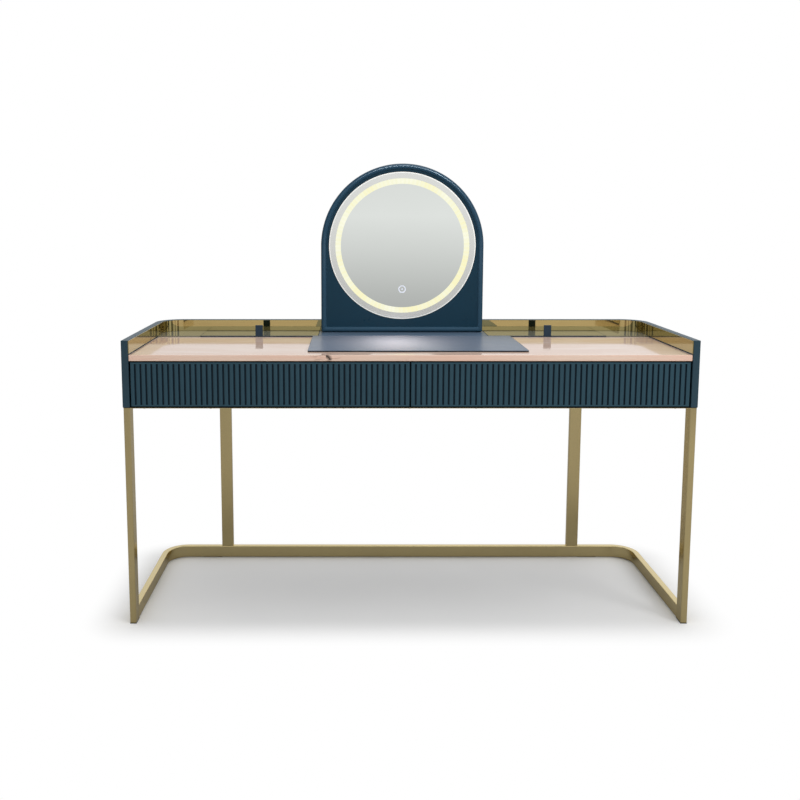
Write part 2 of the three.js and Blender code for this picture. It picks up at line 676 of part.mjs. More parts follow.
const mirror = group(table);
const mirrorHalf = MIRROR_WIDTH / 2;
const mirrorBaseZ = ledgeZ + CONTACT;
const mirrorCentreZ = ledgeZ + MIRROR_CENTRE_ABOVE_LEDGE;
const mirrorBackY = linerY - MIRROR_FROM_LINER;
const mirrorFaceY = mirrorBackY - MIRROR_DEPTH;
const insideHalf = mirrorHalf - MIRROR_RIM;
const insideBaseZ = mirrorBaseZ + MIRROR_RIM;
const fillHalf = insideHalf - CONTACT;
const fillBaseZ = insideBaseZ + CONTACT;
const insideFootRadius = MIRROR_FOOT_RADIUS / 2;
const faceY = mirrorFaceY + FACE_INSET;
const glassFrontY = faceY - GLASS_PROUD;
const glassBackY = glassFrontY + GLASS_THICKNESS;
const ledY = glassBackY + LED_FROM_GLASS;
const coverBackY = mirrorBackY - REAR_COVER_INSET;
const coverFrontY = coverBackY - REAR_COVER;

// The arched housing: a deep rim all the way round, open at the front and the back.
const housingOutline = archOutline(mirrorHalf, mirrorBaseZ, mirrorCentreZ, MIRROR_FOOT_RADIUS);
housingOutline.holes.push(archOutline(insideHalf, insideBaseZ, mirrorCentreZ, insideFootRadius));
const housing = upright(housingOutline, mirrorFaceY, mirrorBackY, ARCH_STEPS / 2);
add(mirror, "mirror_housing", housing, lacquer);

const faceOutline = archOutline(fillHalf, fillBaseZ, mirrorCentreZ, insideFootRadius);
faceOutline.holes.push(discHole(0, mirrorCentreZ, GLASS_RADIUS + GLASS_PLAY));
const face = upright(faceOutline, faceY, faceY + FACE_PANEL, ARCH_STEPS);
add(mirror, "mirror_face_panel", face, darkLacquer);

// The glass: a disc with a ring-shaped recess in its front for the light ring.
const lightInner = LIGHT_RADIUS - LIGHT_WIDTH / 2;
const lightOuter = LIGHT_RADIUS + LIGHT_WIDTH / 2;
const recessY = glassFrontY + LIGHT_DEPTH;
const glassProfile = [
  new THREE.Vector2(0, glassFrontY),
  new THREE.Vector2(lightInner, glassFrontY),
  new THREE.Vector2(lightInner, recessY),
  new THREE.Vector2(lightOuter, recessY),
  new THREE.Vector2(lightOuter, glassFrontY),
  new THREE.Vector2(GLASS_RADIUS, glassFrontY),
  new THREE.Vector2(GLASS_RADIUS, glassBackY),
  new THREE.Vector2(0, glassBackY),
];
const glassDisc = new THREE.LatheGeometry(glassProfile, ROUND_STEPS).translate(0, 0, mirrorCentreZ);
add(mirror, "mirror_glass", glassDisc, silverMirror);

const lightRing = ring(
  lightInner + CONTACT,
  lightOuter - CONTACT,
  glassFrontY,
  recessY - CONTACT,
  mirrorCentreZ,
);
add(mirror, "light_ring", lightRing, warmLight);

const ledInner = LIGHT_RADIUS - LED_BOARD_WIDTH / 2;
const ledOuter = LIGHT_RADIUS + LED_BOARD_WIDTH / 2;
const ledBoard = ring(ledInner, ledOuter, ledY, ledY + LED_BOARD, mirrorCentreZ);
add(mirror, "led_board", ledBoard, greenBoard);

const sensorZ = mirrorCentreZ - SENSOR_BELOW_CENTRE;
const sensorY = glassBackY + CONTACT;
const sensor = rod(SENSOR_RADIUS, sensorY, sensorY + SENSOR_THICKNESS, 0, sensorZ);
add(mirror, "touch_sensor", sensor, blackPlastic);

// The rear cover closes the housing and carries the light board on a raised ring.
const coverOutline = archOutline(fillHalf, fillBaseZ, mirrorCentreZ, insideFootRadius);
const coverPlate = upright(coverOutline, coverFrontY, coverBackY, ARCH_STEPS / 2);
const coverRing = ring(ledInner, ledOuter, ledY + LED_BOARD + CONTACT, coverFrontY + PAST, mirrorCentreZ);
add(mirror, "mirror_rear_cover", join(coverPlate, coverRing), blackPlastic);

export default table;
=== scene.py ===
# %% [markdown]
# # A dressing table, from plain solids to finished surfaces
# The real piece is a lacquered cabinet on a gold tube frame. Its stone top sits in a gallery lined with
# mirror-polished gold sheet, and an arched mirror with a ring of light stands at the back.
# The plain solids say where everything is. Each step below makes one finish or one piece around them, and
# every size that matters is read from those solids, so that nothing has to be fitted afterwards.

# %% Load the frame
import math

import bmesh
import bpy
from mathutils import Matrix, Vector


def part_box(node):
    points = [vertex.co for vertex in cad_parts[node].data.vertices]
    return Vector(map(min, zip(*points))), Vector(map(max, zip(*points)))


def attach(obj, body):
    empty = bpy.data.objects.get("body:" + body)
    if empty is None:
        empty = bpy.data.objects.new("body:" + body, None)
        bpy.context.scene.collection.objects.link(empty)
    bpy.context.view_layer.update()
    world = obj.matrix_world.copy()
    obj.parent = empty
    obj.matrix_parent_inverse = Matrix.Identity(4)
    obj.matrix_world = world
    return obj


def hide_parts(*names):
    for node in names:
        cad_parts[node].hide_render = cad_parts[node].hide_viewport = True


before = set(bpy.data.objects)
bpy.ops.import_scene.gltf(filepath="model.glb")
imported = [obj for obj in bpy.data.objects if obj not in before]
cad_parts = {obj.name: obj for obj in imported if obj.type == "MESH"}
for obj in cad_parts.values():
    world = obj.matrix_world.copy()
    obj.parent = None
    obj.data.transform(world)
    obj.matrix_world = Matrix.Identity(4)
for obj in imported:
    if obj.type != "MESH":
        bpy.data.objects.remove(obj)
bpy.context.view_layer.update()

MM = 0.001

# %% [markdown]
# ## Camera
# A table like this is seen from a little above its top, from a standing person's place in front of it.
# The camera looks down by a few degrees. Shifting the lens, as on a view camera, moves the picture on the
# sensor without tilting the camera further, so that upright legs stay upright.

# %% Camera
CAMERA_PLACE = (-0.1453, -2.596, 1.0877)
LOOKING_DOWN = math.radians(7.15)
LENS, SENSOR = 41.24, 36.0
LENS_SHIFT = (0.0569, -0.0864)

eye = bpy.data.cameras.new("eye")
eye.lens, eye.sensor_width = LENS, SENSOR
eye.shift_x, eye.shift_y = LENS_SHIFT
camera = bpy.data.objects.new("eye", eye)
camera.location = CAMERA_PLACE
camera.rotation_euler = (math.pi / 2 - LOOKING_DOWN, 0.0, 0.0)
bpy.context.collection.objects.link(camera)
scene = bpy.context.scene
scene.camera = camera
scene.view_settings.view_transform = "Standard"
print("camera at", tuple(round(v, 3) for v in camera.location))

# %% [markdown]
# ## A short way to wire nodes
# Node trees are easiest to read when one line makes one node. The helper below makes a node, sets what it
# is told, and takes for each input either a plain value or the output of another node. Some nodes hold
# several sockets with one name and show only one at a time, so the helper looks for the one in use.

# %% Node helpers
SIDES = ("left", "right")
WHITE = (1.0, 1.0, 1.0, 1.0)


def in_use(sockets, name):
    """The socket of that name that the node shows at its present setting."""
    return next(s for s in sockets if s.name == name and s.enabled)


def node(tree, kind, inputs=None, **settings):
    made = tree.nodes.new(kind)
    for key, value in settings.items():
        setattr(made, key, value)
    for key, value in (inputs or {}).items():
        target = made.inputs[key] if isinstance(key, int) else in_use(made.inputs, key)
        for one in value if isinstance(value, list) else [value]:
            if isinstance(one, bpy.types.NodeSocket):
                tree.links.new(one, target)
            else:
                target.default_value = one
    return made


def out(made, name=None):
    return made.outputs[0] if name is None else in_use(made.outputs, name)


def maths(tree, operation, a, b=0.0, c=None):
    values = {0: a, 1: b} if c is None else {0: a, 1: b, 2: c}
    return node(tree, "ShaderNodeMath", values, operation=operation).outputs[0]


def stretch(tree, vector, scale, place=(0.0, 0.0, 0.0)):
    """The same coordinates, moved to a place and then scaled along each axis."""
    moved = node(tree, "ShaderNodeVectorMath", {0: vector, 1: place}, operation="SUBTRACT")
    scaled = node(tree, "ShaderNodeVectorMath", {0: moved.outputs[0], 1: scale}, operation="MULTIPLY")
    return scaled.outputs[0]


def noise(tree, vector, scale, detail=3.0, roughness=0.5, distortion=0.0):
    values = {"Vector": vector, "Scale": scale, "Detail": detail, "Roughness": roughness}
    return node(tree, "ShaderNodeTexNoise", {**values, "Distortion": distortion}).outputs[0]


def ramp(tree, factor, *stops):
    """A colour ramp through (position, colour) pairs; a plain number is a shade of grey."""
    made = node(tree, "ShaderNodeValToRGB", {0: factor})
    elements = made.color_ramp.elements
    while len(elements) < len(stops):
        elements.new(1.0)
    for element, (position, colour) in zip(elements, stops):
        element.position = position
        element.color = (*colour, 1.0) if isinstance(colour, tuple) else (colour, colour, colour, 1.0)
    return made.outputs[0]


def mixed(tree, factor, a, b, blend="MIX"):
    values = {"Factor": factor, "A": a, "B": b}
    return out(node(tree, "ShaderNodeMix", values, data_type="RGBA", blend_type=blend), "Result")


def rgba(*colour):
    return (*colour, 1.0)


print("node helpers ready")

# %% [markdown]
# ## Room light
# The table stands in a showroom with a dim floor, bright walls and a bright ceiling. Polished gold and mirror
# glass show whatever is around them, so the room matters as much as the lamps. Height decides how bright the
# room is, the right side is brighter than the left, and a few dark columns stand round it, which the gold
# shows as dark stripes. The backdrop that the camera sees directly is plain white.

# %% World
FLOOR_GLOW, WALL_GLOW, CEILING_GLOW = 0.28, 0.90, 0.92
DIM_SIDE, BRIGHT_SIDE = 0.80, 1.20
ROOM_STOPS = [
    (0.0, FLOOR_GLOW),
    (0.42, FLOOR_GLOW * 1.3),
    (0.458, WALL_GLOW * 0.64),
    (0.482, WALL_GLOW * 0.86),
    (0.50, WALL_GLOW),
    (0.56, WALL_GLOW * 0.86),
    (0.8, CEILING_GLOW * 0.8),
    (1.0, CEILING_GLOW),
]
COLUMNS = ((0.12, 0.17, 0.10), (0.24, 0.26, 0.25), (0.33, 0.40, 0.12), (0.55, 0.58, 0.2))
COLUMN_BLUR = 0.012
COLUMN_TOP = ((0.66, 0.0), (0.76, 1.0))
COLUMN_STOPS = []
for begin, end, shade in COLUMNS:
    COLUMN_STOPS += [(begin - COLUMN_BLUR, 1.0), (begin, shade), (end, shade), (end + COLUMN_BLUR, 1.0)]


def make_world():
    world = bpy.data.worlds.new("showroom")
    scene.world = world
    world.use_nodes = True
    tree = world.node_tree
    tree.nodes.clear()
    around = node(tree, "ShaderNodeTexCoord").outputs["Generated"]
    split = node(tree, "ShaderNodeSeparateXYZ", {0: around})
    height = maths(tree, "MULTIPLY_ADD", split.outputs["Z"], 0.5, 0.5)
    room = ramp(tree, height, *ROOM_STOPS)
    side_range = {"Value": split.outputs["X"], "From Min": -1.0, "To Min": DIM_SIDE, "To Max": BRIGHT_SIDE}
    side = node(tree, "ShaderNodeMapRange", side_range).outputs[0]
    room = mixed(tree, 1.0, room, side, "MULTIPLY")
    toward_front = maths(tree, "MULTIPLY", split.outputs["Y"], -1.0)
    turn = maths(tree, "ABSOLUTE", maths(tree, "ARCTAN2", split.outputs["X"], toward_front))
    columns = ramp(tree, maths(tree, "DIVIDE", turn, math.pi), *COLUMN_STOPS)
    high_up = ramp(tree, height, *COLUMN_TOP)
    room = mixed(tree, 1.0, room, mixed(tree, high_up, columns, WHITE), "MULTIPLY")
    direct = node(tree, "ShaderNodeLightPath").outputs["Is Camera Ray"]
    seen = mixed(tree, direct, room, WHITE)
    background = node(tree, "ShaderNodeBackground", {"Color": seen, "Strength": 1.0})
    node(tree, "ShaderNodeOutputWorld", {"Surface": background.outputs[0]})
    return world


print("world:", make_world().name)

# %% [markdown]
# ## Lamps
# Soft boxes do the rest. A large one overhead lights the stone. One at the side fills the front without
# drawing a highlight, so that it doesn't show in the glass and the gold. Three small bluish ones draw the
# streaks on the round rim of the mirror, and a small warm one stands in for the light that the mirror's own
# ring throws on the pad. Light linking keeps those four off everything else.

# %% Soft boxes
def soft_box(name, place, aim, size, power, on_gloss=True, colour=(1.0, 1.0, 1.0)):
    """A rectangular lamp; with on_gloss False it lights surfaces but draws no highlight."""
    lamp = bpy.data.lights.new(name, "AREA")
    lamp.shape, lamp.size, lamp.size_y = "RECTANGLE", *size
    lamp.energy, lamp.color = power, colour
    holder = bpy.data.objects.new(name, lamp)
    holder.location = place
    holder.rotation_euler = (Vector(aim) - Vector(place)).to_track_quat("-Z", "Y").to_euler()
    holder.visible_glossy = on_gloss
    bpy.context.collection.objects.link(holder)
    return holder


TABLE_MIDDLE, ARCH_TOP = (0.0, 0.0, 0.7), (0.0, 0.2, 1.24)
ABOVE_PAD, ON_PAD = (-0.03, -0.03, 0.85), (-0.03, -0.04, 0.733)
SKY_TINT, RING_TINT = (0.72, 0.88, 1.0), (1.0, 0.53, 0.35)
LAMPS = [
    soft_box("overhead_box", (0.2, -0.1, 2.9), TABLE_MIDDLE, (2.4, 1.2), 15.0),
    soft_box("left_streak", (-0.20, -1.55, 2.00), ARCH_TOP, (0.12, 0.16), 11.0, colour=SKY_TINT),
    soft_box("top_streak", (0.10, -1.55, 2.00), ARCH_TOP, (0.10, 0.16), 20.0, colour=SKY_TINT),
    soft_box("right_streak", (0.62, -1.55, 1.90), ARCH_TOP, (0.20, 0.16), 28.0, colour=SKY_TINT),
    soft_box("mirror_glow", ABOVE_PAD, ON_PAD, (0.08, 0.22), 1.7, on_gloss=False, colour=RING_TINT),
    soft_box("side_box", (2.6, -2.4, 1.6), TABLE_MIDDLE, (1.2, 1.2), 27.0, on_gloss=False),
]


def light_only(piece, *names):
    """Lets the named lamps light one piece and nothing else."""
    receivers = bpy.data.collections.new("lit_" + piece.name)
    receivers.objects.link(piece)
    for name in names:
        bpy.data.objects[name].light_linking.receiver_collection = receivers


print("lamps:", [lamp.name for lamp in LAMPS])

# %% [markdown]
# ## Floor
# A pale floor runs out to the backdrop. To the camera it is matt under the table, where the real shadow
# falls, and a short way out from the table's footprint it fades into white emission: a painted glow that
# shapes the outer edge of the shadow and matches the white of the backdrop. In the gold tubes it shows
# darker, as the real room's floor does. A Light Path node tells the two apart.

# %% Floor
FLOOR_REACH = 5.0
FOOTPRINT = (0.72, 0.22)
FADE_WIDTH = 0.17
FLOOR_TONES = ((0.3, 0.91), (0.7, 0.93))
REFLECTED_FLOOR = (0.42, 0.41, 0.39, 1.0)


def beyond(tree, coordinate, half):
    """How far a coordinate lies outside plus or minus half, and 0 inside."""
    over = maths(tree, "SUBTRACT", maths(tree, "ABSOLUTE", coordinate), half)
    return maths(tree, "MAXIMUM", over, 0.0)


def floor_material():
    made = bpy.data.materials.new("pale_floor")
    made.use_nodes = True
    tree = made.node_tree
    tree.nodes.clear()
    place = node(tree, "ShaderNodeTexCoord").outputs["Object"]
    split = node(tree, "ShaderNodeSeparateXYZ", {0: place})
    sides = [beyond(tree, split.outputs[axis], half) for axis, half in zip("XY", FOOTPRINT)]
    away = node(tree, "ShaderNodeCombineXYZ", {0: sides[0], 1: sides[1]})
    far = node(tree, "ShaderNodeVectorMath", {0: away.outputs[0]}, operation="LENGTH").outputs["Value"]
    # Painted light: white emission fades in with the distance from the table's footprint and so shapes the
    # shadow's edge.
    glow_share_range = {"Value": far, "From Max": FADE_WIDTH}
    painted_glow_share = node(tree, "ShaderNodeMapRange", glow_share_range, interpolation_type="SMOOTHSTEP").outputs[0]
    tone = ramp(tree, noise(tree, place, 3.0), *FLOOR_TONES)
    lit = node(tree, "ShaderNodeBsdfDiffuse", {"Color": tone})
    painted_floor_glow = node(tree, "ShaderNodeEmission", {"Color": WHITE, "Strength": 1.0})
    seen = node(tree, "ShaderNodeMixShader", {0: painted_glow_share, 1: lit.outputs[0], 2: painted_floor_glow.outputs[0]})
    dim = node(tree, "ShaderNodeBsdfDiffuse", {"Color": REFLECTED_FLOOR})
    direct = node(tree, "ShaderNodeLightPath").outputs["Is Camera Ray"]
    both = node(tree, "ShaderNodeMixShader", {0: direct, 1: dim.outputs[0], 2: seen.outputs[0]})
    node(tree, "ShaderNodeOutputMaterial", {"Surface": both.outputs[0]})
    return made


floor_mesh = bpy.data.meshes.new("floor")
corners = [(x * FLOOR_REACH, y * FLOOR_REACH, 0.0) for x, y in ((-1, -1), (1, -1), (1, 1), (-1, 1))]
floor_mesh.from_pydata(corners, [], [(0, 1, 2, 3)])
floor_mesh.materials.append(floor_material())
floor = bpy.data.objects.new("floor", floor_mesh)
bpy.context.collection.objects.link(floor)
print("floor reaches", FLOOR_REACH, "m each way")

# %% [markdown]
# ## Effects that several finishes share
# No real surface has one flat colour or one even gloss. Three small node groups hold the effects that
# several finishes need. Each one has named inputs, so every material places it with its own values. A group
# gives out only colours and numbers; the shader that uses them stays in the material.

# %% Group helper
def new_group(name, inputs, outputs):
    """An empty shader group; inputs and outputs are (name, kind, default) rows."""
    tree = bpy.data.node_groups.new(name, "ShaderNodeTree")
    for in_out, rows in (("INPUT", inputs), ("OUTPUT", outputs)):
        for label, kind, default in rows:
            made = tree.interface.new_socket(name=label, in_out=in_out, socket_type="NodeSocket" + kind)
            if default is not None:
                made.default_value = default
    return tree, tree.nodes.new("NodeGroupInput").outputs, tree.nodes.new("NodeGroupOutput")


def give(tree, group_output, **results):
    """Connects results to the group's outputs of the same names."""
    for label, result in results.items():
        tree.links.new(result, group_output.inputs[label])


print("group helper ready")

# %% [markdown]
# ### Soft variation
# Sprayed lacquer, leather and plastic differ a little in shade from place to place, and their gloss drifts
# where the coat is thicker. Two slow noises do this, one for the colour's value and one for the roughness.

# %% Soft variation group
VARIATION_ROWS = [
    ("Vector", "Vector", None),
    ("Colour", "Color", (0.5, 0.5, 0.5, 1.0)),
    ("Scale", "Float", 6.0),
    ("Colour spread", "Float", 0.1),
    ("Roughness", "Float", 0.4),
    ("Roughness spread", "Float", 0.1),
]


def soft_variation_group():
    results = [("Colour", "Color", None), ("Roughness", "Float", None)]
    tree, given, end = new_group("soft_variation", VARIATION_ROWS, results)
    slow = noise(tree, given["Vector"], given["Scale"], 4.0)
    fine_scale = maths(tree, "MULTIPLY", given["Scale"], 5.3)
    fine = noise(tree, given["Vector"], fine_scale, 2.0)
    both = maths(tree, "ADD", maths(tree, "MULTIPLY", slow, 1.5), maths(tree, "MULTIPLY", fine, 0.5))
    drift = maths(tree, "SUBTRACT", both, 1.0)
    value = maths(tree, "ADD", maths(tree, "MULTIPLY", drift, given["Colour spread"]), 1.0)
    colour = node(tree, "ShaderNodeHueSaturation", {"Color": given["Colour"], "Value": value})
    gloss = maths(tree, "MULTIPLY", maths(tree, "SUBTRACT", fine, 0.5), given["Roughness spread"])
    give(tree, end, Colour=colour.outputs[0], Roughness=maths(tree, "ADD", given["Roughness"], gloss))
    return tree


SOFT_VARIATION = soft_variation_group()
print("group:", SOFT_VARIATION.name)

# %% [markdown]
# ### Skin
# Under a lamp, sprayed lacquer shows a fine ripple, called orange peel, and leather shows its grain. Both
# are a height that a Bump node turns into small changes of the normal: rounded cells for a grain, and a
# smooth noise for a ripple. One group mixes the two.

# %% Skin group
def skin_group():
    rows = [("Vector", "Vector", None), ("Scale", "Float", 400.0), ("Grain", "Float", 0.0)]
    tree, given, end = new_group("skin", rows, [("Height", "Float", None)])
    ripple = noise(tree, given["Vector"], given["Scale"], 2.0)
    cells = {"Vector": given["Vector"], "Scale": given["Scale"], "Smoothness": 0.6}
    pebbles = node(tree, "ShaderNodeTexVoronoi", cells, feature="SMOOTH_F1")
    height = node(tree, "ShaderNodeMix", {"Factor": given["Grain"], "A": ripple, "B": pebbles.outputs[0]})
    give(tree, end, Height=out(height, "Result"))
    return tree


SKIN = skin_group()
print("group:", SKIN.name)

# %% [markdown]
# ### Handling marks
# Polished metal, glass and stone are wiped by hand. What stays is a faint cloudiness in broad strokes and a
# few hair-fine scratches, which only the roughness shows. The group gives a mask of both.

# %% Handling group
def handling_group():
    rows = [("Vector", "Vector", None), ("Scale", "Float", 5.0), ("Scratches", "Float", 0.3)]
    tree, given, end = new_group("handling_marks", rows, [("Mask", "Float", None)])
    strokes = noise(tree, given["Vector"], given["Scale"], 5.0, 0.6, 1.2)
    cloud = ramp(tree, strokes, (0.42, 0.0), (0.75, 1.0))
    long_way = stretch(tree, given["Vector"], (9.0, 240.0, 240.0))
    hairs = ramp(tree, noise(tree, long_way, 3.0, 1.0), (0.68, 0.0), (0.72, 1.0))
    marks = maths(tree, "ADD", cloud, maths(tree, "MULTIPLY", hairs, given["Scratches"]))
    give(tree, end, Mask=marks)
    return tree


HANDLING = handling_group()
print("group:", HANDLING.name)

# %% [markdown]
# ## Starting a material
# Every finish begins in the same way: a Principled shader with its constant numbers set on the shader's own
# sockets, and the surface's own coordinates in metres. Because pieces keep their place in their mesh, these
# coordinates are also places in the room, and a pattern runs on from one piece to the next.

# %% Material helpers
def start_material(name, constants):
    made = bpy.data.materials.new(name)
    made.use_nodes = True
    tree = made.node_tree
    shader = tree.nodes["Principled BSDF"]
    for key, value in constants.items():
        shader.inputs[key].default_value = value
    place = node(tree, "ShaderNodeTexCoord").outputs["Object"]
    return made, tree, shader, place


def group_node(tree, group, **values):
    """Places a group in a material. Input names are given with _ for a space."""
    made = tree.nodes.new("ShaderNodeGroup")
    made.node_tree = group
    for key, value in values.items():
        target = made.inputs[key.replace("_", " ")]
        if isinstance(value, bpy.types.NodeSocket):
            tree.links.new(value, target)
        else:
            target.default_value = value
    return made


def drifting(tree, shader, place, colour, scale, colour_spread, roughness, roughness_spread):
    """Gives the shader a colour that drifts, and returns a roughness that drifts."""
    values = {"Vector": place, "Colour": colour, "Scale": scale, "Roughness": roughness}
    spreads = {"Colour_spread": colour_spread, "Roughness_spread": roughness_spread}
    drift = group_node(tree, SOFT_VARIATION, **values, **spreads)
    tree.links.new(drift.outputs["Colour"], shader.inputs["Base Color"])
    return drift.outputs["Roughness"]


def handled(tree, shader, place, scale, scratches, smear, clean):
    """Raises a clean surface's roughness by smear wherever hands have marked it."""
    marks = group_node(tree, HANDLING, Vector=place, Scale=scale, Scratches=scratches)
    worn = maths(tree, "MULTIPLY_ADD", marks.outputs["Mask"], smear, clean)
    tree.links.new(worn, shader.inputs["Roughness"])


def copied(material, name):
    """A copy of a material under a new name, with its tree, its shader and its coordinates."""
    made = material.copy()
    made.name = name
    tree = made.node_tree
    place = next(n for n in tree.nodes if n.type == "TEX_COORD").outputs["Object"]
    return made, tree, tree.nodes["Principled BSDF"], place


def bump(tree, shader, height, strength, distance):
    values = {"Height": height, "Strength": strength, "Distance": distance}
    tree.links.new(node(tree, "ShaderNodeBump", values).outputs[0], shader.inputs["Normal"])


print("material helpers ready")

# %% [markdown]
# ## Lacquer
# The cabinet is board, sprayed with satin polyurethane lacquer: a petrol blue outside and a darker navy on
# the mirror's face and inside. A satin coat has a middling roughness, reflects little and carries hardly any
# clear layer. One function makes every sprayed or moulded coat from its colour and its gloss. The mirror's
# rim is glossier and turns dull towards its foot. The fluted fronts get painted shade down in their grooves,
# where less light comes in: their colour is darkened there.

# %% Coloured coats
def coated(name, colour, roughness, coat, shine=0.5, peel=500.0, grain=0.0, depth=0.00006):
    """A coloured coat with a drift in shade and gloss and a fine skin."""
    constants = {"Coat Weight": coat, "Coat Roughness": 0.12, "IOR": 1.5, "Specular IOR Level": shine}
    made, tree, shader, place = start_material(name, constants)
    gloss = drifting(tree, shader, place, colour, 5.0, 0.16, roughness, 0.12)
    tree.links.new(gloss, shader.inputs["Roughness"])
    skin = group_node(tree, SKIN, Vector=place, Scale=peel, Grain=grain)
    bump(tree, shader, skin.outputs["Height"], 0.08, depth)
    return made


LACQUER = coated("petrol_lacquer", rgba(0.030, 0.066, 0.092), 0.42, 0.06, 0.22)
FLAT_FRONT = coated("front_lacquer", rgba(0.031, 0.080, 0.112), 0.42, 0.06, 0.22)
NAVY_LACQUER = coated("navy_lacquer", rgba(0.0085, 0.044, 0.077), 0.30, 0.04, 0.16)
NAVY_TRIM = coated("navy_trim", rgba(0.020, 0.042, 0.070), 0.40, 0.05, 0.2)
GLOSSY_LACQUER = coated("glossy_lacquer", rgba(0.006, 0.026, 0.044), 0.28, 0.0, 0.30, 120.0, 0.0, 0.000004)
BLACK_PLASTIC = coated("black_plastic", rgba(0.010, 0.010, 0.011), 0.55, 0.0, 0.15, 900.0, 0.5, 0.0001)
BLACK_NYLON = coated("black_nylon", rgba(0.014, 0.014, 0.015), 0.6, 0.0, 0.4, 700.0)
SOLDER_MASK = coated("green_solder_mask", rgba(0.020, 0.110, 0.050), 0.35, 0.3, 0.5, 1200.0)
print("coats:", [m.name for m in bpy.data.materials if "lacquer" in m.name])

# %% Coats that change over a piece
DULL_FROM, DULL_TO, DULLER_BY = 0.05, -0.10, 0.5
# Painted shade: the colour that the grooves of the fluted fronts are darkened towards.
PAINTED_GROOVE_SHADE = rgba(0.06, 0.18, 0.25)
LAND_DEPTH, GROOVE_DEPTH = 0.6 * MM, 1.6 * MM
glass_low, glass_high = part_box("mirror_glass")
mirror_centre = (glass_low + glass_high) / 2


def duller_below(lacquer, name, low_z, high_z, more):
    """The same lacquer, rising in roughness from the upper height down to the lower one."""
    made, tree, shader, place = copied(lacquer, name)
    drift = shader.inputs["Roughness"].links[0].from_socket
    height = node(tree, "ShaderNodeSeparateXYZ", {0: place}).outputs["Z"]
    values = {"Value": height, "From Min": low_z, "From Max": high_z, "To Min": more, "To Max": 0.0}
    rise = node(tree, "ShaderNodeMapRange", values).outputs[0]
    tree.links.new(maths(tree, "ADD", drift, rise), shader.inputs["Roughness"])
    return made


def painted_groove_shade(lacquer, name, land_y, floor_y, share):
    """The same lacquer with painted shade: darker between the depth of the lands and the depth of the groove
    floors.
    """
    made, tree, shader, place = copied(lacquer, name)
    base = shader.inputs["Base Color"].links[0].from_socket
    depth = node(tree, "ShaderNodeSeparateXYZ", {0: place}).outputs["Y"]
    values = {"Value": depth, "From Min": land_y, "From Max": floor_y}
    deep = node(tree, "ShaderNodeMapRange", values, interpolation_type="SMOOTHSTEP").outputs[0]
    shade = mixed(tree, deep, WHITE, share)
    tree.links.new(mixed(tree, 1.0, base, shade, "MULTIPLY"), shader.inputs["Base Color"])
    return made


dull_low, dull_high = mirror_centre.z + DULL_TO, mirror_centre.z + DULL_FROM
RIM_LACQUER = duller_below(GLOSSY_LACQUER, "glossy_rim_lacquer", dull_low, dull_high, DULLER_BY)
front_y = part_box("left_drawer_front")[0].y
land, groove = front_y + LAND_DEPTH, front_y + GROOVE_DEPTH
# The fluted fronts carry painted shade in their grooves.
FRONT_LACQUER = painted_groove_shade(FLAT_FRONT, "fluted_front_lacquer", land, groove, PAINTED_GROOVE_SHADE)
print("rim and fronts:", RIM_LACQUER.name, FRONT_LACQUER.name)

# %% [markdown]
# ## Gold
# Three golds are on the table. The legs are steel tube with a champagne-gold plating, polished along their
# length, so their reflections are slightly blurred. The rail and the bars have the same plating, and their
# colour is a shade lighter as painted light, to make up for the dim floor under the table that they reflect.
# The gallery is lined with gold sheet that is polished like a mirror and slightly wavy. Metallic at 1 makes
# the base colour tint every reflection. The runners are zinc-plated steel, from the same recipe.

# %% Gold finishes
def polished_metal(name, colour, roughness, smear, brush_scale, brush_depth):
    """Bare or plated metal. Hands dull it by smear, and brush_scale draws out its polishing lines."""
    made, tree, shader, place = start_material(name, {"Metallic": 1.0})
    gloss = drifting(tree, shader, place, colour, 4.0, 0.10, roughness, roughness * 0.5)
    handled(tree, shader, place, 6.0, 0.35, smear, gloss)
    brushed = noise(tree, stretch(tree, place, brush_scale), 1.0, 2.0)
    bump(tree, shader, brushed, 0.15, brush_depth)
    return made


GOLD_TUBE = polished_metal("gold_tube", rgba(0.70, 0.575, 0.30), 0.17, 0.06, (300, 300, 30), 0.00006)
# Painted light: the rail and bars are given a lighter gold than the legs, for the dim floor they reflect.
BRIGHTENED_GOLD_RAIL = polished_metal("gold_rail", rgba(0.80, 0.665, 0.355), 0.17, 0.06, (30, 300, 900), 0.00006)
GOLD_SHEET = polished_metal("gold_sheet", rgba(0.52, 0.43, 0.19), 0.025, 0.035, (11, 11, 7), 0.0011)
STEEL = polished_metal("zinc_steel", rgba(0.40, 0.41, 0.42), 0.34, 0.1, (900, 60, 900), 0.00008)
print("metals:", GOLD_TUBE.name, GOLD_SHEET.name, STEEL.name)

# %% [markdown]
# ## Pink stone
# The top is a slab of pale pink stone with a high polish. Such stone formed in beds, so its clouds and
# veins are drawn out along the slab. The clouds are a stretched noise between cream and rose, the fine
# veins are the thin edges where a bent noise crosses its middle value. One dark mineral vein, a quarter of a
# small circle with faint brown stains round it, breaks the front edge left of the middle.

# %% Stone
CREAM, ROSE, PEACH = (0.77, 0.605, 0.505), (0.70, 0.49, 0.39), (0.735, 0.545, 0.44)
# Painted light: brighter colours for the slab's front face than for its top.
PAINTED_LIGHT_PEACH, PAINTED_LIGHT_ROSE = (1.0, 0.76, 0.62), (1.0, 0.66, 0.52)
VEIN_BROWN, STAIN_BROWN = (0.010, 0.008, 0.007), (0.42, 0.25, 0.18)
HOOK_CENTRE = (-0.2195, 0.0, 0.7165)
HOOK_RADIUS, HOOK_LINE, STAIN_REACH = 0.0105, 0.0052, 0.045
EDGE_DEPTH = 0.8 * MM
stone_front_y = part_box("marble_top")[0].y


def thin_line(tree, vector, scale, width, distortion=0.0):
    """1 along the line where a noise crosses one half, and 0 away from it."""
    wave = noise(tree, vector, scale, 4.0, 0.55, distortion)
    away = maths(tree, "ABSOLUTE", maths(tree, "SUBTRACT", wave, 0.5))
    return ramp(tree, away, (0.0, 1.0), (width, 0.0))


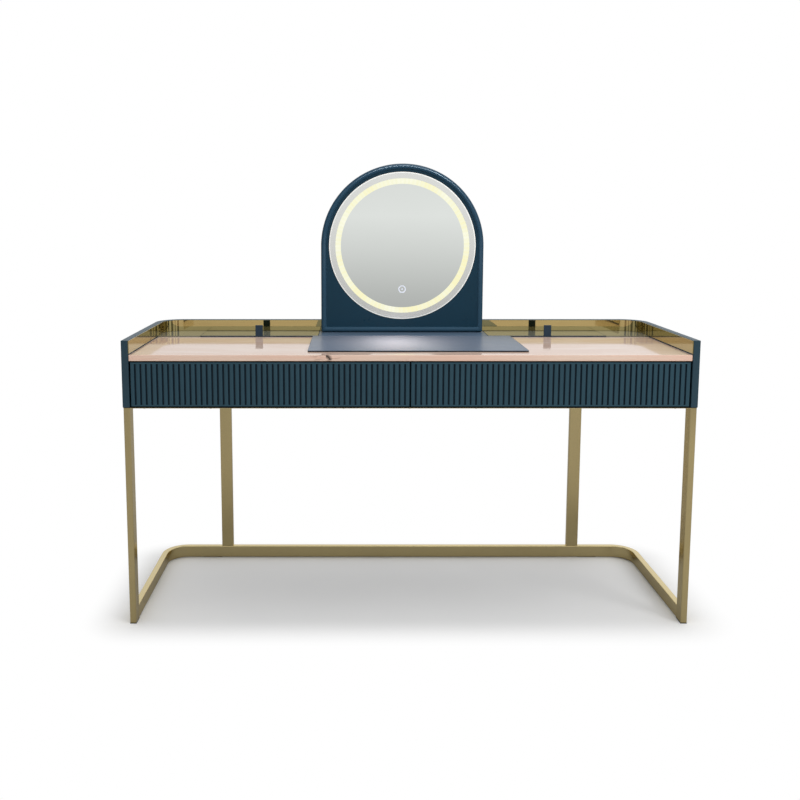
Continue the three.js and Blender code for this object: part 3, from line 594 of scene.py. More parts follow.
def pink_stone():
    made, tree, shader, place = start_material("pink_stone", {"IOR": 1.55, "Coat Roughness": 0.02})
    beds = stretch(tree, place, (1.0, 3.2, 6.0))
    clouds = noise(tree, beds, 3.2, 6.0, 0.6, 0.8)
    body = ramp(tree, clouds, (0.30, ROSE), (0.46, PEACH), (0.58, CREAM), (0.8, CREAM))
    drawn_out = stretch(tree, place, (2.0, 30.0, 60.0))
    streaks = ramp(tree, noise(tree, drawn_out, 1.6, 4.0), (0.35, 0.0), (0.7, 1.0))
    body = mixed(tree, maths(tree, "MULTIPLY", streaks, 0.35), body, rgba(*ROSE))
    veins = maths(tree, "MULTIPLY", thin_line(tree, beds, 1.3, 0.008, 0.6), 0.30)
    veins = maths(tree, "MULTIPLY", veins, ramp(tree, noise(tree, place, 2.0), (0.45, 0.0), (0.6, 1.0)))
    body = mixed(tree, veins, body, rgba(0.50, 0.30, 0.22))
    upright = stretch(tree, place, (1.0, 0.0, 1.0))
    apart_from = node(tree, "ShaderNodeVectorMath", {0: upright, 1: HOOK_CENTRE}, operation="DISTANCE")
    near = apart_from.outputs["Value"]
    from_line = maths(tree, "ABSOLUTE", maths(tree, "SUBTRACT", near, HOOK_RADIUS))
    hook = ramp(tree, from_line, (HOOK_LINE / 2, 1.0), (HOOK_LINE, 0.0))
    split = node(tree, "ShaderNodeSeparateXYZ", {0: place})
    for axis, middle in (("X", HOOK_CENTRE[0]), ("Z", HOOK_CENTRE[2])):
        hook = maths(tree, "MULTIPLY", hook, maths(tree, "GREATER_THAN", split.outputs[axis], middle))
    reach = ramp(tree, maths(tree, "DIVIDE", near, STAIN_REACH), (0.2, 1.0), (1.0, 0.0))
    lines = noise(tree, stretch(tree, place, (40.0, 120.0, 260.0)), 1.0, 4.0)
    stain = maths(tree, "MULTIPLY", reach, ramp(tree, lines, (0.5, 0.0), (0.62, 0.8)))
    at_edge = maths(tree, "LESS_THAN", split.outputs["Y"], stone_front_y + EDGE_DEPTH)
    # Painted light: the front face is coloured a brighter peach and rose than the top, for how light falls on
    # it.
    body = mixed(tree, at_edge, body, mixed(tree, streaks, rgba(*PAINTED_LIGHT_PEACH), rgba(*PAINTED_LIGHT_ROSE)))
    body = mixed(tree, stain, body, rgba(*STAIN_BROWN))
    body = mixed(tree, maths(tree, "MULTIPLY", hook, at_edge), body, rgba(*VEIN_BROWN))
    tree.links.new(body, shader.inputs["Base Color"])
    handled(tree, shader, place, 3.0, 0.1, 0.05, 0.05)
    bump(tree, shader, clouds, 0.02, 0.0005)
    return made


STONE = pink_stone()
print("stone:", STONE.name)

# %% [markdown]
# ## Glass, mirror and light
# The lids over the wells are dense grey-green glass that lets through a third of the light. The same glass on
# the ledge is painted on its back and lets none through. Both numbers stay plain, and only the colour and a
# trace of handling marks vary. The mirror is silvered glass: seen from the front it is nothing but a
# reflection, so a metallic surface with hardly any roughness does the same with less light lost. The ring of
# light is a frosted band lit from behind, and it glows brighter where each small lamp sits.

# %% Glass finishes
def tinted_glass(name, colour, transmission):
    constants = {"Transmission Weight": transmission, "IOR": 1.5}
    made, tree, shader, place = start_material(name, constants)
    gloss = drifting(tree, shader, place, colour, 3.0, 0.06, 0.02, 0.01)
    handled(tree, shader, place, 4.0, 0.15, 0.03, gloss)
    return made


def silvered(name, colour, roughness):
    made, tree, shader, place = start_material(name, {"Metallic": 1.0})
    gloss = drifting(tree, shader, place, colour, 2.0, 0.03, roughness, 0.004)
    handled(tree, shader, place, 5.0, 0.1, 0.015, gloss)
    return made


LID_GLASS = tinted_glass("tinted_lid_glass", rgba(0.26, 0.26, 0.20), 0.3)
LEDGE_GLASS = tinted_glass("painted_ledge_glass", rgba(0.19, 0.19, 0.15), 0.0)
MIRROR_SILVER = silvered("mirror_silver", rgba(0.80, 0.83, 0.80), 0.012)
FROSTED_EDGE = silvered("frosted_mirror_border", rgba(0.87, 0.88, 0.85), 0.18)
print("glass:", LID_GLASS.name, "mirror:", MIRROR_SILVER.name)

# %% Light finishes
LAMP_COUNT = 96
DIMMEST, MIDDLING, BRIGHTEST = (0.90, 0.86, 0.52), (0.88, 0.88, 0.66), (0.92, 0.92, 0.78)


def lit_ring(centre):
    """A frosted band in warm white, a little brighter over each lamp behind it."""
    made, tree, shader, place = start_material("warm_light_band", {"Roughness": 0.5})
    moved = node(tree, "ShaderNodeVectorMath", {0: place, 1: centre}, operation="SUBTRACT").outputs[0]
    split = node(tree, "ShaderNodeSeparateXYZ", {0: moved})
    turn = maths(tree, "ARCTAN2", split.outputs["Z"], split.outputs["X"])
    beat = maths(tree, "COSINE", maths(tree, "MULTIPLY", turn, float(LAMP_COUNT)))
    patch = noise(tree, place, 14.0, 2.0)
    level = maths(tree, "ADD", maths(tree, "MULTIPLY", beat, 0.06), patch)
    colour = ramp(tree, level, (0.30, DIMMEST), (0.55, MIDDLING), (0.8, BRIGHTEST))
    tree.links.new(colour, shader.inputs["Emission Color"])
    dull = mixed(tree, 1.0, colour, rgba(0.08, 0.08, 0.08), "MULTIPLY")
    tree.links.new(dull, shader.inputs["Base Color"])
    shader.inputs["Emission Strength"].default_value = 1.0
    return made


# A glowing print: a real glow for the backlit touch sign and the lamp chips, a painted highlight for the
# glass bevel.
def glow_or_painted_highlight(name, colour, strength):
    made, tree, shader, place = start_material(name, {"Roughness": 0.4})
    shade = ramp(tree, noise(tree, place, 300.0), (0.3, tuple(c * 0.9 for c in colour)), (0.7, colour))
    tree.links.new(shade, shader.inputs["Emission Color"])
    tree.links.new(shade, shader.inputs["Base Color"])
    shader.inputs["Emission Strength"].default_value = strength
    return made


LIGHT_BAND = lit_ring(tuple(mirror_centre))
TOUCH_PRINT = glow_or_painted_highlight("touch_sign", (0.80, 0.84, 0.95), 0.35)
# Painted highlight: the glass bevel glows to show the bright line that it catches.
PAINTED_BEVEL_HIGHLIGHT = glow_or_painted_highlight("lit_glass_bevel", (0.86, 0.87, 0.84), 0.45)
LAMP_CHIP = glow_or_painted_highlight("lamp_chip", (1.0, 0.86, 0.45), 1.5)
print("light band round", tuple(round(v, 4) for v in mirror_centre))

# %% [markdown]
# ## Leather, felt and wood
# The pad and the mirror's foot board are covered in smooth slate-blue leather with a fine grain. The wells
# have a felt mat. Drawer boxes are pale lacquered wood, and wood needs its grain to run along each board, so
# that material is made once for each direction.

# %% Leather and felt
LEATHER = coated("slate_leather", rgba(0.070, 0.124, 0.198), 0.32, 0.0, 0.38, 1300.0, 0.8, 0.00010)
LEATHER.node_tree.nodes["Principled BSDF"].inputs["Sheen Weight"].default_value = 0.06


def felt():
    sheen = {"Sheen Weight": 0.5, "Sheen Roughness": 0.5}
    made, tree, shader, place = start_material("navy_felt", sheen)
    fibres = noise(tree, place, 900.0, 4.0, 0.7)
    gloss = drifting(tree, shader, place, rgba(0.016, 0.022, 0.040), 30.0, 0.5, 0.95, 0.05)
    tree.links.new(gloss, shader.inputs["Roughness"])
    bump(tree, shader, fibres, 0.6, 0.0004)
    return made


FELT = felt()
print("soft finishes:", LEATHER.name, FELT.name)

# %% Wood
WOOD_LIGHT, WOOD_DARK = (0.56, 0.41, 0.26), (0.36, 0.235, 0.13)


def wood(name, along):
    """Pale wood with its grain along X (0) or Y (1)."""
    made, tree, shader, place = start_material(name, {"Coat Weight": 0.15, "Coat Roughness": 0.2})
    ring_scale = tuple(0.9 if axis == along else 14.0 for axis in range(3))
    pore_scale = tuple(18.0 if axis == along else 900.0 for axis in range(3))
    rings = noise(tree, stretch(tree, place, ring_scale), 1.6, 5.0, 0.6, 1.0)
    bands = maths(tree, "SINE", maths(tree, "MULTIPLY", rings, 60.0))
    pores = noise(tree, stretch(tree, place, pore_scale), 1.0, 2.0)
    level = maths(tree, "ADD", maths(tree, "MULTIPLY", bands, 0.22), pores)
    colour = ramp(tree, level, (0.2, WOOD_DARK), (0.5, WOOD_LIGHT), (0.8, WOOD_LIGHT))
    tree.links.new(colour, shader.inputs["Base Color"])
    tree.links.new(ramp(tree, pores, (0.3, 0.62), (0.7, 0.42)), shader.inputs["Roughness"])
    bump(tree, shader, pores, 0.3, 0.00015)
    return made


WOOD_ALONG_X, WOOD_ALONG_Y = wood("wood_along_x", 0), wood("wood_along_y", 1)
print("wood:", WOOD_ALONG_X.name, WOOD_ALONG_Y.name)

# %% [markdown]
# ## Making a piece and handing it over
# Each finished mesh goes through one door. It gets its material, smooth shading with sharp edges kept and its
# body to ride on, and the plain solids that it stands for are hidden. Weighted normals let the large flat
# faces rule the shading, so that a board looks flat right up to its narrow round.

# %% Finishing a piece
SHARP_ANGLE = math.radians(32)
made_triangles = {}


def evaluated_mesh(piece):
    """The plain mesh that an object's modifiers make."""
    bpy.context.view_layer.update()
    graph = bpy.context.evaluated_depsgraph_get()
    return bpy.data.meshes.new_from_object(piece.evaluated_get(graph))


def loose_object(name, bm_or_mesh):
    """An object for work in between; a bmesh becomes a plain mesh first."""
    mesh = bm_or_mesh
    if isinstance(bm_or_mesh, bmesh.types.BMesh):
        mesh = bpy.data.meshes.new(name)
        bm_or_mesh.to_mesh(mesh)
        bm_or_mesh.free()
    piece = bpy.data.objects.new(name, mesh)
    bpy.context.collection.objects.link(piece)
    return piece


def shaded(carrier, sharp):
    """The carrier's mesh, smooth but for its sharp edges, with weighted normals."""
    carrier.data.shade_smooth()
    carrier.data.set_sharp_from_angle(angle=sharp)
    carrier.modifiers.new("weighted", "WEIGHTED_NORMAL").keep_sharp = True
    mesh = evaluated_mesh(carrier)
    bpy.data.objects.remove(carrier)
    return mesh


def finished(name, bm_or_mesh, body, material, replaces=(), sharp=SHARP_ANGLE):
    mesh = shaded(loose_object("carrier", bm_or_mesh), sharp)
    mesh.name = name
    if material is not None:
        mesh.materials.clear()
        mesh.materials.append(material)
    piece = bpy.data.objects.new(name, mesh)
    bpy.context.collection.objects.link(piece)
    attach(piece, body)
    if replaces:
        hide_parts(*replaces)
    mesh.calc_loop_triangles()
    made_triangles[name] = len(mesh.loop_triangles)
    print(f"{name}: {made_triangles[name]} triangles on {body}")
    return piece


print("finishing helper ready")

# %% [markdown]
# ## Boards and slabs
# A sawn board never has a razor edge: it is eased by sanding, and that narrow round is what catches the
# light. A board here is a box whose edges get a small bevel. A slab does the same for any plan outline.

# %% Boards and slabs
def bridge(bm, one, two):
    """Joins two closed loops of equal count with four-sided faces."""
    for i in range(len(one)):
        j = (i + 1) % len(one)
        bm.faces.new((one[i], one[j], two[j], two[i]))


def eased(bm, width, segments=3):
    """Rounds every edge that is sharper than a curve's own steps."""
    bmesh.ops.recalc_face_normals(bm, faces=bm.faces)
    sharp = [e for e in bm.edges if e.is_manifold and e.calc_face_angle() > SHARP_ANGLE]
    bmesh.ops.bevel(bm, geom=sharp, offset=width, segments=segments, profile=0.5, affect="EDGES")
    return bm


def board(low, high, ease):
    bm = bmesh.new()
    bmesh.ops.create_cube(bm, size=1.0)
    low, high = Vector(low), Vector(high)
    for vertex in bm.verts:
        vertex.co = (low + high) / 2 + Vector(a * b for a, b in zip(vertex.co, high - low))
    return eased(bm, ease)


def slab(outline, from_z, to_z, ease):
    """A plan outline, given as (x, y) points in order, made as thick as its two heights."""
    bm = bmesh.new()
    bottom = [bm.verts.new((x, y, from_z)) for x, y in outline]
    top = [bm.verts.new((x, y, to_z)) for x, y in outline]
    bm.faces.new(bottom)
    bm.faces.new(top)
    bridge(bm, bottom, top)
    return eased(bm, ease)


def arc(centre_x, centre_y, radius, start, end, steps):
    """Points on an arc, both ends included; angles in degrees."""
    turns = [math.radians(start + (end - start) * i / steps) for i in range(steps + 1)]
    return [(centre_x + radius * math.cos(t), centre_y + radius * math.sin(t)) for t in turns]


def board_for(node_name, ease, material, body="table", name=None):
    """A board with eased edges in exactly the room of a plain solid."""
    bm = board(*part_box(node_name), ease)
    return finished(name or node_name + "_finished", bm, body, material, [node_name])


print("board and slab helpers ready")

# %% [markdown]
# ## Bands that follow a path
# The cabinet's sides and back, the gold sheet, the floor rail and the mirror's rim are all one section
# carried along a path. Each path is a list of matched pairs of points, one on the outside and one on the
# inside. Laying the section between each pair keeps the corners clean, because the two sides never cross.

# %% Bands
def rounded_section(width, height, radius, inset=0.0, steps=4):
    """A rectangle with round corners, as (across, up) points from a corner at (0, 0)."""
    corner = max(radius - inset, 0.00002)
    near, far_x, far_y = inset + corner, width - inset - corner, height - inset - corner
    points = arc(near, near, corner, 180, 270, steps) + arc(far_x, near, corner, 270, 360, steps)
    return points + arc(far_x, far_y, corner, 0, 90, steps) + arc(near, far_y, corner, 90, 180, steps)


def in_plan(point, up):
    return Vector((point[0], point[1], up))


def in_elevation(point, up):
    return Vector((point[0], up, point[1]))


def band(pairs, sections, place, closed=False):
    """Lays one section between each pair of points, and joins each to the next."""
    bm = bmesh.new()
    loops = []
    for (outer, inner), (width, section) in zip(pairs, sections):
        outer, inner = Vector(outer), Vector(inner)
        loop = [place(outer + (inner - outer) * (across / width), up) for across, up in section]
        loops.append([bm.verts.new(point) for point in loop])
    links = list(zip(loops, loops[1:])) + ([(loops[-1], loops[0])] if closed else [])
    for one, two in links:
        bridge(bm, one, two)
    if not closed:
        bm.faces.new(loops[0])
        bm.faces.new(loops[-1])
    bmesh.ops.recalc_face_normals(bm, faces=bm.faces)
    return bm


def standing_band(pairs, low_z, high_z, thickness, radius, steps=4):
    """A band standing on edge, with rounded edges and rounded ends."""
    start = (Vector(pairs[1][0]) - Vector(pairs[0][0])).normalized()
    end = (Vector(pairs[-2][0]) - Vector(pairs[-1][0])).normalized()

    def shifted(pair, direction, amount):
        return tuple(Vector(p) + direction * amount for p in pair)

    stations, insets = [], []
    for i in range(steps + 1):
        turn = math.pi / 2 * i / steps
        inset, advance = radius * (1 - math.sin(turn)), radius * (1 - math.cos(turn))
        stations.append(shifted(pairs[0], start, advance))
        insets.append(inset)
    for pair in pairs[1:-1]:
        stations.append(pair)
        insets.append(0.0)
    for i in reversed(range(steps + 1)):
        turn = math.pi / 2 * i / steps
        stations.append(shifted(pairs[-1], end, radius * (1 - math.cos(turn))))
        insets.append(radius * (1 - math.sin(turn)))
    height = high_z - low_z
    sections = []
    for inset in insets:
        section = rounded_section(thickness, height, radius, inset, steps)
        sections.append((thickness, [(across, low_z + up) for across, up in section]))
    return band(stations, sections, in_plan)


def u_pairs(outside_x, front_y, back_y, radius, thickness, steps):
    """The U of the gallery in plan: along the right side, round the back and along the left side."""
    bend_x, bend_y = outside_x - radius, back_y - radius
    outer = [(outside_x, front_y)] + arc(bend_x, bend_y, radius, 0, 90, steps)
    inner = [(outside_x - thickness, front_y)] + arc(bend_x, bend_y, radius - thickness, 0, 90, steps)
    right = list(zip(outer, inner))
    left = [tuple((-x, y) for x, y in pair) for pair in reversed(right)]
    return right + left


print("band helpers ready")

# %% [markdown]
# ## The cabinet's shell
# On the real table the sides and the back meet in bent corners of laminated board and are sprayed as one, so
# no joint shows. One band in plan makes the whole shell. The hole for the power inlet is cut afterwards with
# a Boolean modifier, whose result is turned into a plain mesh.

# %% Shell
CORNER_RADIUS = 75 * MM
BOARD_EASE = 1.4 * MM
CONTACT = 0.3 * MM
side_low, side_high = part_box("right_side_panel")
back_low, back_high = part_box("back_panel")
PANEL = side_high.x - side_low.x


def turned(profile, centre, steps):
    """A profile of (radius, y) points turned about a line along Y through centre."""
    bm = bmesh.new()
    loops = []
    for i in range(steps):
        turn = 2 * math.pi * i / steps
        direction = Vector((math.cos(turn), 0.0, math.sin(turn)))
        spot = Vector((centre[0], 0.0, centre[2]))
        loops.append([bm.verts.new(spot + direction * r + Vector((0, y, 0))) for r, y in profile])
    for one, two in zip(loops, loops[1:] + loops[:1]):
        for i in range(len(profile)):
            j = (i + 1) % len(profile)
            if profile[i][0] or profile[j][0]:
                bm.faces.new((one[i], one[j], two[j], two[i]))
    bmesh.ops.remove_doubles(bm, verts=bm.verts, dist=0.000001)
    bmesh.ops.recalc_face_normals(bm, faces=bm.faces)
    return bm


def cut_by(base, tool):
    """The mesh of base less tool; both helper objects are removed."""
    modifier = base.modifiers.new("cut", "BOOLEAN")
    modifier.operation, modifier.solver, modifier.object = "DIFFERENCE", "EXACT", tool
    result = evaluated_mesh(base)
    bpy.data.objects.remove(base)
    bpy.data.objects.remove(tool)
    return result


inlet_low, inlet_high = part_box("power_inlet")
inlet_middle = (inlet_low + inlet_high) / 2
inlet_radius = (inlet_high.x - inlet_low.x) / 2
shell_pairs = u_pairs(side_high.x, side_low.y, back_high.y, CORNER_RADIUS, PANEL, 24)
shell_bm = standing_band(shell_pairs, side_low.z, side_high.z, PANEL, BOARD_EASE)
reach = (back_high.y - PANEL * 2, back_high.y + PANEL)
hole_radius = inlet_radius + CONTACT
hole = [(0.0, reach[0]), (hole_radius, reach[0]), (hole_radius, reach[1]), (0.0, reach[1])]
shell_mesh = cut_by(loose_object("shell", shell_bm), loose_object("hole", turned(hole, inlet_middle, 48)))
SHELL_NODES = ["left_side_panel", "right_side_panel", "back_panel"]
finished("cabinet_shell", shell_mesh, "table", LACQUER, SHELL_NODES)

# %% [markdown]
# ## Gold sheet in the gallery
# The sheet follows the inside of the shell, so it is the same band with the thickness of sheet metal. Its
# top edge lies just under the rim and its foot just above the stone, where a line of navy shows.

# %% Gallery lining
liner_low, liner_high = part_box("gold_liner")
LINER = 2 * MM
liner_radius = CORNER_RADIUS - (side_high.x - liner_high.x)
liner_pairs = u_pairs(liner_high.x, liner_low.y, liner_high.y, liner_radius, LINER, 32)
liner_bm = standing_band(liner_pairs, liner_low.z, liner_high.z, LINER, 0.3 * MM, 2)
finished("gallery_lining", liner_bm, "table", GOLD_SHEET, ["gold_liner"])

# %% [markdown]
# ## Stone top, ledge and pad
# The slab has a narrow polished arris on every edge. Behind it runs the ledge, a board on the same level at
# both ends, with glass bonded on it, and the leather-covered board that the mirror stands on. The pad is a
# thin leather mat with turned edges, so its outline has small round corners and its edge is soft. Its black
# backing shows as a thin line below the leather.

# %% Stone slab
STONE_ARRIS = 1.0 * MM
board_for("marble_top", STONE_ARRIS, STONE, name="stone_top")

# %% Ledge ends
GLASS_SHEET = 4 * MM


def ledge_end(side, sign):
    low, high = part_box(side + "_ledge_corner")
    near, far = (low.x, high.x) if sign > 0 else (high.x, low.x)
    bend = far - sign * liner_radius
    corner = arc(abs(bend), high.y - liner_radius, liner_radius, 0, 90, 16)
    outline = [(near, low.y), (far, low.y)] + [(sign * x, y) for x, y in corner] + [(near, high.y)]
    seam = high.z - GLASS_SHEET
    under = slab(outline, low.z, seam - 0.05 * MM, 0.5 * MM)
    finished(side + "_ledge_board", under, "table", NAVY_LACQUER, [side + "_ledge_corner"])
    sheet = slab(outline, seam, high.z, 0.4 * MM)
    finished(side + "_ledge_glass", sheet, "table", LEDGE_GLASS)


for side, sign in (("left", -1), ("right", 1)):
    ledge_end(side, sign)

# %% Foot board of the mirror, and pad
board_for("mirror_base_board", 1.0 * MM, LEATHER, name="mirror_foot_board")

PAD_CORNER = 4 * MM
PAD_EDGE = 0.9 * MM


def soft_mat(low, high, corner, edge):
    """A thin mat whose outline has round corners and whose upper edge rolls over."""
    x0, x1, y0, y1 = low.x + corner, high.x - corner, low.y + corner, high.y - corner
    outline = arc(x1, y0, corner, -90, 0, 6) + arc(x1, y1, corner, 0, 90, 6)
    outline += arc(x0, y1, corner, 90, 180, 6) + arc(x0, y0, corner, 180, 270, 6)
    return slab(outline, low.z, high.z, edge)


pad_low, pad_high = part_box("desk_pad")
PAD_BACKING = 2.6 * MM
seam = Vector((0.0, 0.0, pad_low.z + PAD_BACKING))
skin_bm = soft_mat(Vector((*pad_low.xy, seam.z)), pad_high, PAD_CORNER, PAD_EDGE)
writing_pad = finished("writing_pad", skin_bm, "table", LEATHER, ["desk_pad"])
light_only(writing_pad, "mirror_glow")
backing_bm = soft_mat(pad_low, Vector((*pad_high.xy, seam.z)), PAD_CORNER, 0.2 * MM)
finished("writing_pad_backing", backing_bm, "table", BLACK_PLASTIC)

# %% [markdown]
# ## Fluted drawer fronts
# The fronts are routed: fifty narrow grooves at one pitch, each stopped short of the top and bottom so that
# a plain lip is left. This is a shape that follows a rule, so Geometry Nodes make it. The tree receives one
# flute, a narrow sheet with the land and the groove beside it, repeats it along the front, trims it to the
# front's width, and gives the sheet the board's thickness. Changing the pitch or the count is one number.

# %% Geometry Nodes helpers
def new_tree(name, rows):
    """An empty Geometry Nodes tree with a geometry input and output and the inputs in rows."""
    tree = bpy.data.node_groups.new(name, "GeometryNodeTree")
    tree.is_modifier = True
    tree.interface.new_socket(name="Geometry", in_out="INPUT", socket_type="NodeSocketGeometry")
    for label, kind in rows:
        tree.interface.new_socket(name=label, in_out="INPUT", socket_type="NodeSocket" + kind)
    tree.interface.new_socket(name="Geometry", in_out="OUTPUT", socket_type="NodeSocketGeometry")
    return tree, tree.nodes.new("NodeGroupInput").outputs


def end_tree(tree, geometry, material):
    """Ends a tree as every tree here ends: instances made real, then the material set."""
    real = node(tree, "GeometryNodeRealizeInstances", {0: geometry}).outputs[0]
    coated_now = node(tree, "GeometryNodeSetMaterial", {"Geometry": real, "Material": material})
    tree.links.new(coated_now.outputs[0], tree.nodes.new("NodeGroupOutput").inputs[0])


def run_tree(tree, start, values):
    """Runs a tree on a start mesh and gives back the plain mesh; helper objects are removed."""
    carrier = loose_object("carrier", start)
    modifier = carrier.modifiers.new("nodes", "NODES")
    modifier.node_group = tree
    sockets = {item.name: item.identifier for item in tree.interface.items_tree if item.in_out == "INPUT"}
    for label, value in values.items():
        modifier[sockets[label]] = value
    result = evaluated_mesh(carrier)
    carrier.modifiers.clear()
    bpy.data.objects.remove(carrier)
    return result


print("Geometry Nodes helpers ready")

# %% The tree that repeats a flute
FLUTE_ROWS = [
    ("Flutes", "Int"),
    ("Pitch", "Float"),
    ("Start", "Vector"),
    ("Width", "Float"),
    ("Thickness", "Float"),
    ("Edge round", "Float"),
    ("Material", "Material"),
]


def flute_tree():
    tree, given = new_tree("fluted_front", FLUTE_ROWS)
    step = node(tree, "ShaderNodeCombineXYZ", {"X": given["Pitch"]}).outputs[0]
    places = {"Count": given["Flutes"], "Offset": step, "Start Location": given["Start"]}
    line = node(tree, "GeometryNodeMeshLine", places, mode="OFFSET")
    copies = {"Points": line.outputs[0], "Instance": given["Geometry"]}
    row = node(tree, "GeometryNodeInstanceOnPoints", copies).outputs[0]
    real = node(tree, "GeometryNodeRealizeInstances", {0: row}).outputs[0]
    sheet = node(tree, "GeometryNodeMergeByDistance", {"Geometry": real, "Distance": 0.00001}).outputs[0]
    here = node(tree, "ShaderNodeSeparateXYZ", {0: node(tree, "GeometryNodeInputPosition").outputs[0]})
    begin = node(tree, "ShaderNodeSeparateXYZ", {0: given["Start"]})
    along = maths(tree, "SUBTRACT", here.outputs["X"], begin.outputs["X"])
    beyond = maths(tree, "GREATER_THAN", along, maths(tree, "ADD", given["Width"], 0.00005))
    trim = {"Geometry": sheet, "Selection": beyond}
    sheet = node(tree, "GeometryNodeDeleteGeometry", trim, domain="POINT").outputs[0]
    rest = maths(tree, "SUBTRACT", given["Width"], along)
    to_end = maths(tree, "DIVIDE", maths(tree, "MINIMUM", along, rest), given["Edge round"])
    short = node(tree, "ShaderNodeClamp", {0: maths(tree, "SUBTRACT", 1.0, to_end)}).outputs[0]
    drop = maths(tree, "MULTIPLY", maths(tree, "MULTIPLY", short, short), given["Edge round"])
    back_off = node(tree, "ShaderNodeCombineXYZ", {"Y": drop}).outputs[0]
    face = node(tree, "GeometryNodeSetPosition", {"Geometry": sheet, "Offset": back_off}).outputs[0]
    rearward = node(tree, "ShaderNodeCombineXYZ", {"Y": 1.0}).outputs[0]
    push = {"Mesh": face, "Offset": rearward, "Offset Scale": given["Thickness"], "Individual": False}
    thick = node(tree, "GeometryNodeExtrudeMesh", push, mode="FACES")
    back_y = maths(tree, "ADD", begin.outputs["Y"], given["Thickness"])
    flat = {"X": here.outputs["X"], "Y": back_y, "Z": here.outputs["Z"]}
    flat_place = node(tree, "ShaderNodeCombineXYZ", flat).outputs[0]
    flatten = {"Geometry": thick.outputs["Mesh"], "Selection": thick.outputs["Top"], "Position": flat_place}
    rear = node(tree, "GeometryNodeSetPosition", flatten).outputs[0]
    front = node(tree, "GeometryNodeFlipFaces", {0: face}).outputs[0]
    both = node(tree, "GeometryNodeJoinGeometry", {0: [rear, front]}).outputs[0]
    whole = node(tree, "GeometryNodeMergeByDistance", {"Geometry": both, "Distance": 0.00001}).outputs[0]
    end_tree(tree, whole, given["Material"])
    return tree


FLUTES = flute_tree()
print("tree:", FLUTES.name, "with", len(FLUTES.nodes), "nodes")

# %% One flute, and both fronts
FLUTE_COUNT = 50
FLUTE_WIDTH, FLUTE_FLOOR, FLUTE_DEPTH = 4.6 * MM, 2.4 * MM, 3.0 * MM
FLUTE_LIP = 4.0 * MM
LAND_CROWN, LAND_ROUND, EDGE_ROUND = 0.35 * MM, 0.7 * MM, 0.8 * MM


def flute_profile(pitch):
    """(along, depth) points across one land and the groove after it."""
    land = pitch - FLUTE_WIDTH
    shoulder = [(0.0, LAND_ROUND), (0.28 * LAND_ROUND, 0.3 * LAND_ROUND), (LAND_ROUND, 0.0)]
    crown = []
    for share in (0.3, 0.5, 0.7):
        crown.append((land * share, 0.0))
    wall = (FLUTE_WIDTH - FLUTE_FLOOR) / 2
    floor_points = [(land + wall, FLUTE_DEPTH), (land + wall + FLUTE_FLOOR, FLUTE_DEPTH)]
    mirrored_shoulder = [(land - along, depth) for along, depth in reversed(shoulder)]
    points = shoulder + crown + mirrored_shoulder + floor_points + [(pitch, LAND_ROUND)]
    middle = land / 2
    bowed = []
    for along, depth in points:
        away = min(abs(along - middle) / middle, 1.0)
        bowed.append((along, depth + LAND_CROWN * away * away if depth == 0.0 else depth + LAND_CROWN))
    return bowed


def one_flute(pitch, low_z, high_z):
    """The sheet of one flute: its profile at full depth between the lips, and plain on the lips."""
    profile = flute_profile(pitch)
    ramp_height = 0.5 * MM
    rows = [(low_z, 0.0, 0.6 * MM), (low_z + 0.25 * MM, 0.0, 0.15 * MM), (low_z + EDGE_ROUND, 0.0, 0.0)]
    rows += [(low_z + FLUTE_LIP, 0.0, 0.0), (low_z + FLUTE_LIP + ramp_height, 1.0, 0.0)]
    rows += [(high_z - FLUTE_LIP - ramp_height, 1.0, 0.0), (high_z - FLUTE_LIP, 0.0, 0.0)]
    rows += [(high_z - EDGE_ROUND, 0.0, 0.0), (high_z - 0.25 * MM, 0.0, 0.15 * MM), (high_z, 0.0, 0.6 * MM)]
    bm = bmesh.new()
    grid = []
    for z, share, ease in rows:
        grid.append([bm.verts.new((along, depth * share + ease, z)) for along, depth in profile])
    for lower, upper in zip(grid, grid[1:]):
        for i in range(len(profile) - 1):
            bm.faces.new((lower[i], lower[i + 1], upper[i + 1], upper[i]))
    return bm


def fluted_front(side):
    low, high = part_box(side + "_drawer_front")
    width = high.x - low.x
    pitch = (width + FLUTE_WIDTH) / (FLUTE_COUNT + 1)
    values = {
        "Flutes": FLUTE_COUNT + 1,
        "Pitch": pitch,
        "Start": (low.x, low.y, 0.0),
        "Width": width,
        "Thickness": high.y - low.y,
        "Edge round": EDGE_ROUND,
        "Material": FRONT_LACQUER,
    }
    mesh = run_tree(FLUTES, one_flute(pitch, low.z, high.z), values)
    body = side + "_drawer"
    finished(side + "_fluted_front", mesh, body, None, [side + "_drawer_front"], math.radians(28))


fluted_front("left")
fluted_front("right")

# %% [markdown]
# ## Drawer boxes and runners
# Behind each front is a box of pale wood with eased edges, hung on two steel runners. The runners are plain
# folded channels, so their solids stay and only get their zinc finish. Grain runs the long way of each board.

# %% Drawer boxes
WOOD_EASE = 0.8 * MM
for side in SIDES:
    drawer = side + "_drawer"
    for part, material in (
        ("inner_side", WOOD_ALONG_Y),
        ("outer_side", WOOD_ALONG_Y),
        ("back", WOOD_ALONG_X),
        ("bottom", WOOD_ALONG_X),
    ):
        name = f"{drawer}_{part}"
        board_for(name, WOOD_EASE, material, drawer, name + "_board")


def repaint(material, *node_names):
    """Gives a carried-over solid its finish; its shape and place stay as they are."""
    for node_name in node_names:
        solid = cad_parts[node_name]
        solid.data.materials.clear()
        solid.data.materials.append(material)


for side in SIDES:
    for place in ("inner", "outer"):
        rails = [f"{side}_drawer_{place}_{kind}_rail" for kind in ("body", "drawer")]
        repaint(STEEL, *rails)
        print("zinc on", rails)

# %% [markdown]
# ## Inside the cabinet
# The bottom panel and the divider between the drawers are navy. The wells under the lids are navy boxes with
# a felt mat on the floor, cut a little smaller than the well so that it drops in.

